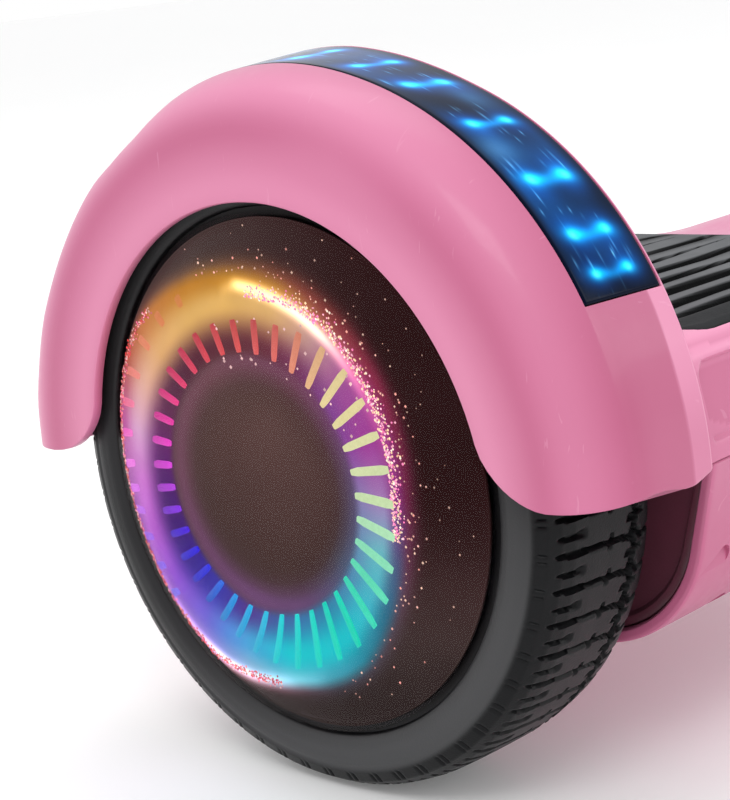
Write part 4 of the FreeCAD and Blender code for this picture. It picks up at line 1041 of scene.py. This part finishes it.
# the white-hot line: radius, strength, width and colour
HOT_RADIUS = [(97, 49.3), (85, 47.5), (75, 46.3), (60, 44.9), (45, 43.9), (30, 43.3), (0, 43.0),
              (-60, 46), (-85, 51.5), (-95, 53.5), (-102, 55.5), (-110, 58.5), (-120, 61.2),
              (-132, 63.2), (-145, 64.2), (180, 52), (150, 49), (120, 47)]
HOT_GAIN = [(104, 0), (99, 0.25), (95, 0.95), (75, 1.1), (60, 1), (48, 0.65), (30, 0.28),
            (8, 0.10), (-10, 0), (-75, 0), (-92, 0.25), (-102, 0.6), (-112, 0.95),
            (-124, 0.9), (-136, 0.6), (-150, 0.15), (180, 0), (130, 0)]
HOT_WIDTH = [(95, 1.5), (75, 1.5), (60, 1.45), (45, 1.5), (20, 1.8), (-40, 2.6), (-92, 2.6),
             (-110, 2.4), (-130, 2.6), (180, 4.2), (150, 4.4), (120, 2.6)]
HOT_HUE = [(93, 100, 97, 80), (60, 100, 93, 76), (35, 100, 72, 85), (0, 95, 55, 85),
           (-90, 92, 94, 100), (-120, 100, 90, 98), (-150, 95, 75, 100), (150, 100, 90, 84)]
# rim of the centre disc, and the faint halo outside the band
RIM_HUE = [(0, 16, 22, 40), (-35, 8, 26, 42), (-70, 18, 12, 36), (-110, 20, 9, 34),
           (-150, 20, 8, 26), (180, 20, 8, 20), (120, 20, 9, 16), (60, 26, 12, 26),
           (30, 24, 14, 36)]
HALO_HUE = [(90, 36, 22, 8), (60, 46, 18, 16), (35, 50, 12, 28), (0, 36, 10, 28),
            (-40, 12, 12, 20), (-75, 10, 16, 24), (-100, 30, 16, 24), (-130, 50, 16, 26),
            (-165, 50, 10, 16), (165, 46, 8, 10), (135, 30, 16, 8), (110, 30, 20, 6)]
# the raised bars: colour, outer radius, width, fade towards the tip, slant (degrees per mm)
BAR_HUE = [(-100, 20, 80, 98), (-90, 6, 92, 95), (-70, 6, 95, 88), (-50, 12, 95, 82),
           (-30, 42, 97, 80), (-15, 70, 100, 82), (0, 85, 98, 76), (15, 93, 98, 76),
           (30, 97, 95, 70), (45, 97, 90, 66), (58, 97, 72, 55), (70, 95, 50, 45),
           (85, 95, 42, 42), (100, 95, 38, 38), (118, 95, 33, 40), (135, 97, 30, 48),
           (147, 100, 28, 60), (157, 100, 26, 72), (166, 100, 28, 85), (176, 95, 30, 95),
           (186, 80, 28, 98), (195, 60, 20, 100), (204, 35, 12, 100), (214, 20, 12, 100),
           (223, 18, 18, 100), (232, 20, 45, 100), (242, 15, 65, 100), (252, 15, 75, 100)]
BAR_END = [(46, 43.2), (20, 42.4), (0, 42.2), (-15, 42.4), (-30, 44.3), (-45, 45.4), (-60, 46.4),
           (-80, 48), (-95, 48.5), (-108, 47), (-125, 45), (-150, 43.5), (180, 42.8),
           (150, 42.5), (120, 42), (95, 41), (75, 41), (60, 42.4)]
BAR_WIDTH = [(0, 2.4), (40, 2.2), (75, 1.9), (130, 2), (180, 2.15), (230, 2), (270, 1.85),
             (320, 2)]
BAR_FADE = [(0, 0), (60, 0.15), (90, 0.35), (150, 0.3), (230, 0.4), (262, 0.1), (320, 0)]
BAR_SLANT = [(-90, -0.62), (-60, -0.58), (-30, -0.42), (0, -0.2), (30, 0.08), (60, 0.2),
             (90, 0.25), (120, 0.31), (150, 0.34), (180, 0.15), (200, -0.15), (220, -0.25),
             (240, -0.4), (255, -0.55)]
# the fainter stubs: start radius and colour
STUB_START = [(108, 49.5), (120, 50.5), (135, 52), (150, 53.5), (165, 55.5), (215, 56.5),
              (232, 57)]
STUB_HUE = [(108, 84, 56, 26), (125, 92, 56, 32), (140, 96, 58, 44), (152, 98, 56, 56),
            (165, 100, 46, 82), (180, 96, 44, 98), (192, 84, 40, 100), (204, 66, 34, 100),
            (218, 50, 34, 100), (232, 46, 50, 100)]
PLATE_GAP = 1.7             # from the cover's outer face back to the plate


def dome(radius):
    """X offset of the hub cover's outer face."""
    return -32 + 9.5 * (np.maximum(np.asarray(radius, float) - 28, 0) / 38) ** 2


def hub_glow(angle, radius):
    """Light on the hub plate, as sRGB fractions."""
    outer, middle, inner = (around(angle, keys) for keys in (BAND_OUTER, BAND_MIDDLE, BAND_INNER))
    to_middle = ramp(inner + around(angle, INNER_HOLD), middle, radius)[..., None]
    to_outer = ramp(middle + 0.5, outer - 0.5, radius)[..., None]
    haze = hue(angle, INNER_HUE) * (1 - to_middle) + hue(angle, MIDDLE_HUE) * to_middle
    haze = haze * (1 - to_outer) + hue(angle, OUTER_HUE) * to_outer
    rim = tint(bell(radius, 31.0, 4.2), hue(angle, RIM_HUE)) * 0.75
    halo = tint(bell(radius, outer + 1.2, 2.8), hue(angle, HALO_HUE)) * 0.75
    # plate: its colour painted in as glow, a brown centre with a painted highlight towards the top,
    # dark maroon towards the upper front, and painted shade at the foot
    y, z = -np.cos(np.radians(angle)) * radius, np.sin(np.radians(angle)) * radius
    maroon = ramp(-30, 55, -y) * ramp(-45, 5, z)
    disc = tint(1 - maroon, (0.345, 0.278, 0.270)) + tint(maroon, (0.195, 0.085, 0.092))
    core = np.exp(-((radius / 30.0) ** 4))
    shine = 0.82 + 0.30 * ramp(-30, 26, z - 0.3 * y)
    disc = disc * (1 - core)[..., None] + tint(core * shine, (0.395, 0.292, 0.280))
    disc *= (1 - 0.35 * ramp(-20, -60, z) * ramp(34, 50, radius))[..., None]
    band = (ramp(inner - 1.6, inner + 1.6, radius)
            * (1 - ramp(outer - 1.2, outer + around(angle, EDGE_SOFT), radius)))[..., None]
    hot = bell(radius, around(angle, HOT_RADIUS), around(angle, HOT_WIDTH))
    return ((disc * 0.9 + rim + halo) * (1 - band) + haze * band
            + tint(around(angle, HOT_GAIN) * hot, hue(angle, HOT_HUE)) * 0.8)


def hub_light_ring():
    rings, turns = ((130, 540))
    radii = np.concatenate([[0.05], np.linspace(2, 28, 10), np.linspace(28.5, 64.6, rings - 11)])
    angle, radius = np.meshgrid(np.linspace(0, 360, turns, endpoint=False), radii, indexing="ij")
    front = axle_points(dome(radius) + PLATE_GAP, radius, np.radians(angle))
    back = front[:, ::-1] + [0.9, 0, 0]
    mesh = grid(np.concatenate([front, back], 1), True, True)
    lit = linear(np.clip(hub_glow(angle, radius), 0, 1.25))
    glow = np.concatenate([lit, np.zeros_like(lit)], 1).reshape(-1, 3)
    both("hub_light_ring", mesh, "wheel", "hub_plate", slot="hub_lights", sharp=60, glow=glow,
         tone=0.003)


def hub_bar(angle, start, end, widths, colour, fade, lift):
    """A raised bar on the plate, as its mesh and the glow of its points."""
    parts = np.linspace(0, 1, 7)
    rings = []
    for part in parts:
        radius = start + (end - start) * part
        turn = math.radians(angle + float(around(angle, BAR_SLANT)) * (radius - 34))
        cosine, sine = math.cos(turn), math.sin(turn)
        half = (widths[0] + (widths[1] - widths[0]) * part) * (0.72 if part in (0, 1) else 1) / 2
        base = WHEEL_X + float(dome(radius)) + PLATE_GAP
        edge = [(1, -0.1), (1, lift * 0.7), (0.7, lift)]
        outline = [(-side, up) for side, up in edge] + edge[::-1]
        rings.append([(base - up, -radius * cosine + side * half * sine,
                       AXLE_Z + radius * sine + side * half * cosine) for side, up in outline])
    return loft(rings), tint(np.repeat(1 - fade * parts, 6), colour)


def hub_light_bars():
    bars = []
    for i in range(36):
        turn = 10.0 * i
        angle = turn + 3.3 + 4.3 * math.sin(math.radians(turn - 50))
        width = float(around(angle, BAR_WIDTH))
        bars.append(hub_bar(angle, float(around(angle, BAND_INNER)) + 0.1,
                            float(around(angle, BAR_END)), (width * 0.85, width),
                            np.clip(linear(hue(angle, BAR_HUE)), 0.012, 1.2),
                            fade=float(around(angle, BAR_FADE)), lift=0.55))
        if 108 < angle < 232:
            # beyond the bright band the bars come out again as fainter stubs
            bars.append(hub_bar(angle, float(around(angle, STUB_START)),
                                float(around(angle, BAND_OUTER)) - 0.6, (2.0, 2.5),
                                linear(hue(angle, STUB_HUE)) * 1.1, fade=0.08, lift=0.15))
    meshes, glows = zip(*bars)
    both("hub_light_bars", merge(*meshes), "wheel", "light_bar", slot="hub_lights",
         replaces=False, sharp=40, glow=np.concatenate(glows), tone=0.01)


OCTAHEDRON = np.array([(1, 0, 0), (-1, 0, 0), (0, 1, 0), (0, -1, 0), (0, 0, 1), (0, 0, -1)], float)
OCTAHEDRON_FACES = [[0, 2, 4], [2, 1, 4], [1, 3, 4], [3, 0, 4], [2, 0, 5], [1, 2, 5], [3, 1, 5],
                    [0, 3, 5]]
# colours of the painted glints: upper front, rear and foot, and outside the band
FRONT_SPARKS = [(100, 92, 84), (100, 70, 80), (100, 50, 72), (100, 84, 66)]
REAR_SPARKS = [(100, 55, 52), (95, 30, 34), (100, 80, 78), (98, 45, 65), (85, 22, 20)]
STRAY_SPARKS = [(100, 84, 74), (100, 76, 70), (98, 66, 60)]


def hub_sparks():
    """Tiny raised octahedra scattered about the lit band, glowing as painted glints."""
    meshes, glows = [], []

    def spark(angle, radius, colour, size, gain):
        turn = math.radians(angle)
        centre = axle_points(float(dome(radius)) + PLATE_GAP - size * 0.5, radius, turn)
        size *= 1.55
        meshes.append((OCTAHEDRON * [size * 0.6, size, size] + centre, OCTAHEDRON_FACES))
        glows.append(np.repeat(np.array([paint(*colour)]) * gain * 1.5, 6, 0))

    def pick(colours):
        return colours[rng.integers(len(colours))]

    def band_edge(angle):
        return float(around(angle, BAND_OUTER))

    # the order of the random draws sets the pattern
    for _ in range(900):
        angle = rng.uniform(-14, 92)
        edge = band_edge(angle) - 1.6 - 2.6 * float(ramp(55, 90, angle))
        spark(angle, edge + (abs(rng.normal(0, 1.5)) - 0.9), pick(FRONT_SPARKS),
              size=rng.uniform(0.12, 0.27), gain=rng.uniform(0.6, 1.25))
    for _ in range(900):
        angle = rng.uniform(136, 262)
        spark(angle, min(band_edge(angle) + rng.normal(0.3, 0.9), 64.9), pick(REAR_SPARKS),
              size=rng.uniform(0.12, 0.28), gain=rng.uniform(0.45, 1.1))
    for _ in range(150):
        angle = rng.uniform(-75, 118)
        colour = pick(STRAY_SPARKS)
        spark(angle, min(band_edge(angle) + 0.8 + rng.exponential(3.2), 63), colour,
              size=rng.uniform(0.12, 0.27), gain=rng.uniform(0.45, 1.0))
    for _ in range(40):
        spark(rng.uniform(20, 110), rng.uniform(29.5, 44), (100, 82, 82),
              size=rng.uniform(0.16, 0.36), gain=rng.uniform(0.4, 0.9))
    for _ in range(26):
        spark(rng.uniform(-30, 120), rng.uniform(53, 62), (96, 78, 70),
              size=rng.uniform(0.11, 0.24), gain=rng.uniform(0.3, 0.7))
    both("hub_sparks", merge(*meshes), "wheel", "light_bar", slot="hub_lights", replaces=False,
         sharp=20, glow=np.concatenate(glows), tone=0.05)


def hub_light_cover():
    """A thin domed shell with a short rim."""
    radii = np.concatenate([[0.05], np.linspace(4, 28, 7), np.linspace(31, 65.2, 22)])
    profile = [(dome(radius), radius) for radius in (*radii, 65.6)]
    profile += [(-22.2, 65.95), (-21.4, 66.0), (-18.7, 66.0), (-18.7, 64.9), (-21.0, 64.8)]
    profile += [(dome(radius) + 1.1, radius) for radius in radii[::-1] if radius < 64.7]
    both("hub_light_cover", turned_x(profile, 144), "wheel", "smoked_cover", sharp=40)


# ---------------------------------------------------------------- foot mat

MAT_START, MAT_END = MAT_CORNERS[0][0], MAT_CORNERS[-1][0]
MAT_RIBS = 13 + 0.8         # rib pitches across the mat


def foot_mat():
    """A ribbed mat: ribs run along X and join in pairs towards the waist; four pegs below."""
    outline = mat_outline(0.0)
    outline = outline[outline[:, 1] > 0]
    outline = outline[np.argsort(outline[:, 0], kind="stable")]
    rows, columns = ((236, 300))
    quarter = np.linspace(0, math.pi / 2, 9)
    stations = np.concatenate([MAT_START + 6 * (1 - np.cos(quarter))[:-1],
                               np.linspace(MAT_START + 6, MAT_END - 4, rows - 16),
                               MAT_END - 4 * (1 - np.sin(quarter))[1:]])
    x, side = np.meshgrid(stations, np.linspace(-1, 1, columns), indexing="ij")
    width = np.interp(x, *outline.T)
    y = side * width
    along = (x - MAT_START) / (MAT_END - MAT_START)
    fan = side * (1 + 0.04 * np.sin(along * math.pi))
    place = (fan + 1) / 2 * MAT_RIBS - 0.4
    nearest = np.round(place)
    # every second groove dies out, so that two ribs run into one broad one
    closed = ramp(0.38, 1.0, along)
    kept = 3.3 - 1.2 * ramp(0.4, 1.0, along) + 0.4 * np.sin(along * 8 + 2.1 * nearest)
    half = np.where(nearest % 2 == 1, 3.1 * (1 - closed), kept)
    half *= 0.75 + 0.35 * ramp(0.5, -0.9, side)
    half = np.maximum(half, 0.02) / (2 * width / MAT_RIBS)
    off = np.abs(place - nearest)
    inward = width - np.abs(y)
    field = ramp(7.0, 9.0, inward)
    ends = ramp(0, 3.0, x + 228.5) * (1 - ramp(-6.5, -2.0, x - MAT_END))
    cut = (1 - ramp(half * 0.55, half, off)) * field * ends
    groove_shade = (1 - ramp(half * 0.85, half * 1.2, off)) * field * ends
    narrow = place - np.floor(place)
    broad = (place - 2 * np.floor(place / 2)) / 2
    across = narrow * (1 - closed) + broad * closed
    ridge = 0.55 * np.sin(across * math.pi) * field * ends
    z = 111.7 + ridge - 1.75 * cut + 1.15 * ramp(0.5, 8.0, inward)
    rim = np.minimum(inward, np.minimum(x - MAT_START, MAT_END - x))
    z -= 1.1 * (1 - ramp(0.0, 1.1, rim)) ** 2
    z = np.minimum(z, 113.45)
    pegs = [loft([section(circle(peg_x, peg_y, radius, 24), "Z", height)
                  for radius, height in ((3.2, 99.95), (4.0, 100.6), (4.0, 109.6))])
            for peg_x in (-178, -126) for peg_y in (45, -45)]
    sheet = slab(np.stack([x, y, z], -1), np.stack([x, y, np.full_like(x, 109.2)], -1))
    mesh = merge(sheet, *pegs)
    # painted light and shade: each rib lit across its width, and painted shade darkening the grooves
    shade = 0.16 + 0.84 * ramp(1.0, 0.5, across) * ramp(0.0, 0.2, across)
    tone = np.full(len(mesh[0]), 0.1)
    tone[:x.size] = np.clip(shade * field * (1 - groove_shade) + 0.25 * (1 - field), 0, 1).ravel()
    both("foot_mat", mesh, "foot_pad", "mat_rubber", sharp=40, tone=tone)


# ---------------------------------------------------------------- seal, cap and button

# X offset, radius: a ring with three ridges
SEAL = [(-1.4, 32.1), (-1.4, 36.0), (-0.9, 36.7), (-0.35, 36.2), (0.0, 36.75), (0.4, 36.2),
        (0.8, 36.7), (1.15, 36.0), (1.15, 32.1), (0.6, 31.9), (-0.8, 31.9)]
# offset from the panel, radius
CAP = [(2.1, 0.02), (2.1, 4.6), (0.7, 4.7), (0.7, 5.8), (2.1, 5.9), (2.1, 9.5), (2.5, 9.95),
       (3.5, 9.95), (4.1, 9.6), (4.35, 8.9), (4.1, 8.0), (3.95, 7.4), (4.05, 4), (4.1, 0.02)]
BUTTON = [(-6.1, 0.02), (-6.1, 8.4), (-4.1, 8.4), (-4.0, 6.95), (2.6, 6.95), (3.0, 6.75),
          (3.18, 6.3), (3.0, 5.5), (2.75, 4.0), (2.65, 2.0), (2.62, 0.02)]
BEZEL = [(0.1, 7.1), (-3.8, 7.1), (-3.8, 8.8), (0.1, 8.8), (0.1, 10.3), (0.9, 10.35), (1.7, 9.9),
         (2.1, 9.1), (2.15, 8.0), (1.8, 7.25)]


def cap_block(stations, low, high, half, radii):
    """A rounded block beside the cap, between two offsets from the panel."""
    outline = rounded_box(PANEL_Y + low, PANEL_Y + high, PANEL_Z - half, PANEL_Z + half, radii, 3)
    return loft([section(outline, "X", x) for x in stations])


def charge_cap():
    tab = cap_block((172.6, 174.6, 176.8), 2.15, 4.3, 2.9, (0.5, 0.7, 0.7, 0.5))
    hinge = loft([section(circle(177.4, PANEL_Y + 3.3, radius, 20), "Z", z)
                  for radius, z in ((1.1, 67.05), (1.45, 67.4), (1.45, 72.6), (1.1, 72.95))])
    lip = cap_block((153.9, 154.6, 156.0), 2.3, 3.6, 2.4, (0.4, 0.5, 0.5, 0.4))
    disc = turned_y(CAP, 72, (CAP_X, PANEL_Y, PANEL_Z))
    piece("charge_cap", merge(disc, tab, hinge, lip), "charge_cap", "seal_rubber", sharp=40)


def small_pieces():
    piece("pivot_seal", turned_x(SEAL, 120, centre=(0.0, 75.0)), "left_half", "seal_rubber",
          sharp=50)
    charge_cap()
    centre = (BUTTON_X, PANEL_Y, PANEL_Z)
    piece("power_button", turned_y(BUTTON, 72, centre), "power_button", "button_metal", sharp=35)
    piece("power_button_bezel", turned_y(BEZEL, 72, centre), "right_half", "dark_plastic",
          sharp=35)


def colour_cad_pieces():
    """Give the CAD pieces their own materials."""
    slots = {part["node"]: part["material_slot"] for part in frame["record"]["subparts"]}
    for name, node in frame["nodes"].items():
        slot = slots.get(name, "dark_plastic")
        node.data.materials.clear()
        node.data.materials.append(MATERIALS["circuit_board" if slot == "hub_lights" else slot])


# ---------------------------------------------------------------- floor, light, camera (metres)

def add_floor():
    made = Material("floor")
    cloud = made.remap(made.noise(scale=3))
    made.set(Base_Color=made.mix(cloud, (0.93, 0.93, 0.935), (0.95, 0.95, 0.95)),
             Roughness=made.remap(made.noise(scale=30, detail=2), to=(0.55, 0.7)),
             Emission_Color=(1.0, 1.0, 1.0), Emission_Strength=0.10)
    made.bump(made.noise(scale=200, detail=2), strength=0.02, depth=0.0002)
    data = bpy.data.meshes.new("floor")
    half = 30
    corners = [(-half, -half, 0), (half, -half, 0), (half, half, 0), (-half, half, 0)]
    data.from_pydata(corners, [], [(0, 1, 2, 3)])
    data.materials.append(made.material)
    floor = bpy.data.objects.new("floor", data)
    bpy.context.scene.collection.objects.link(floor)


def add_world():
    """A white world, a little brighter to the camera than to the scene."""
    seen, lighting = 1.0, 0.92
    world = bpy.data.worlds.new("studio")
    bpy.context.scene.world = world
    world.use_nodes = True
    nodes, links = world.node_tree.nodes, world.node_tree.links
    background = nodes["Background"]
    background.inputs[0].default_value = (1, 1, 1, 1)
    strength = nodes.new("ShaderNodeMath")
    strength.operation = "MULTIPLY_ADD"
    strength.inputs[1].default_value = seen - lighting
    strength.inputs[2].default_value = lighting
    path = nodes.new("ShaderNodeLightPath")
    links.new(path.outputs["Is Camera Ray"], strength.inputs[0])
    links.new(strength.outputs[0], background.inputs[1])


def add_area(name, place, target, size, power):
    light = bpy.data.lights.new(name, "AREA")
    light.shape = "RECTANGLE"
    light.size, light.size_y = size
    light.energy = power
    made = bpy.data.objects.new(name, light)
    bpy.context.scene.collection.objects.link(made)
    made.location = place
    aim = Vector(target) - Vector(place)
    made.rotation_euler = aim.to_track_quat("-Z", "Y").to_euler()


def add_camera():
    """A camera off the front left, placed from the left wheel's centre."""
    turn, rise, roll = map(math.radians, (-44.69, 11.56, -6.36))
    back = Vector((math.sin(turn) * math.cos(rise), -math.cos(turn) * math.cos(rise),
                   math.sin(rise)))
    level = Vector((0, 0, 1)).cross(back).normalized()
    upright = back.cross(level)
    right = math.cos(roll) * level + math.sin(roll) * upright
    up = -math.sin(roll) * level + math.cos(roll) * upright
    place = Vector((WHEEL_X / 1000, 0, AXLE_Z / 1000)) + Vector((-0.3605, -0.3717, 0.1197))
    data = bpy.data.cameras.new("camera")
    data.sensor_width = 36
    data.lens = 94.0005
    data.clip_start = 0.01
    camera = bpy.data.objects.new("camera", data)
    facing = Matrix((right, up, back)).transposed().to_4x4()
    camera.matrix_world = Matrix.Translation(place) @ facing
    bpy.context.scene.collection.objects.link(camera)
    bpy.context.scene.camera = camera


upper_shell()
lower_shells()
wheel_well_liner()
headlight_lens()
fender_light_lens()
tyre()
hub_light_ring()
hub_light_bars()
hub_sparks()
hub_light_cover()
foot_mat()
small_pieces()
colour_cad_pieces()
add_floor()
add_world()
add_area("key", place=(-1.6, -1.0, 2.0), target=(-0.2, 0, 0.08), size=(1.2, 0.8), power=14)
add_area("top", place=(0.2, 0.6, 2.4), target=(-0.1, 0, 0.1), size=(2.0, 1.2), power=11)
add_area("edge", place=(1.8, -1.6, 1.0), target=(0, 0, 0.08), size=(0.8, 1.0), power=6)
add_camera()
bpy.context.scene.view_settings.view_transform = "Standard"
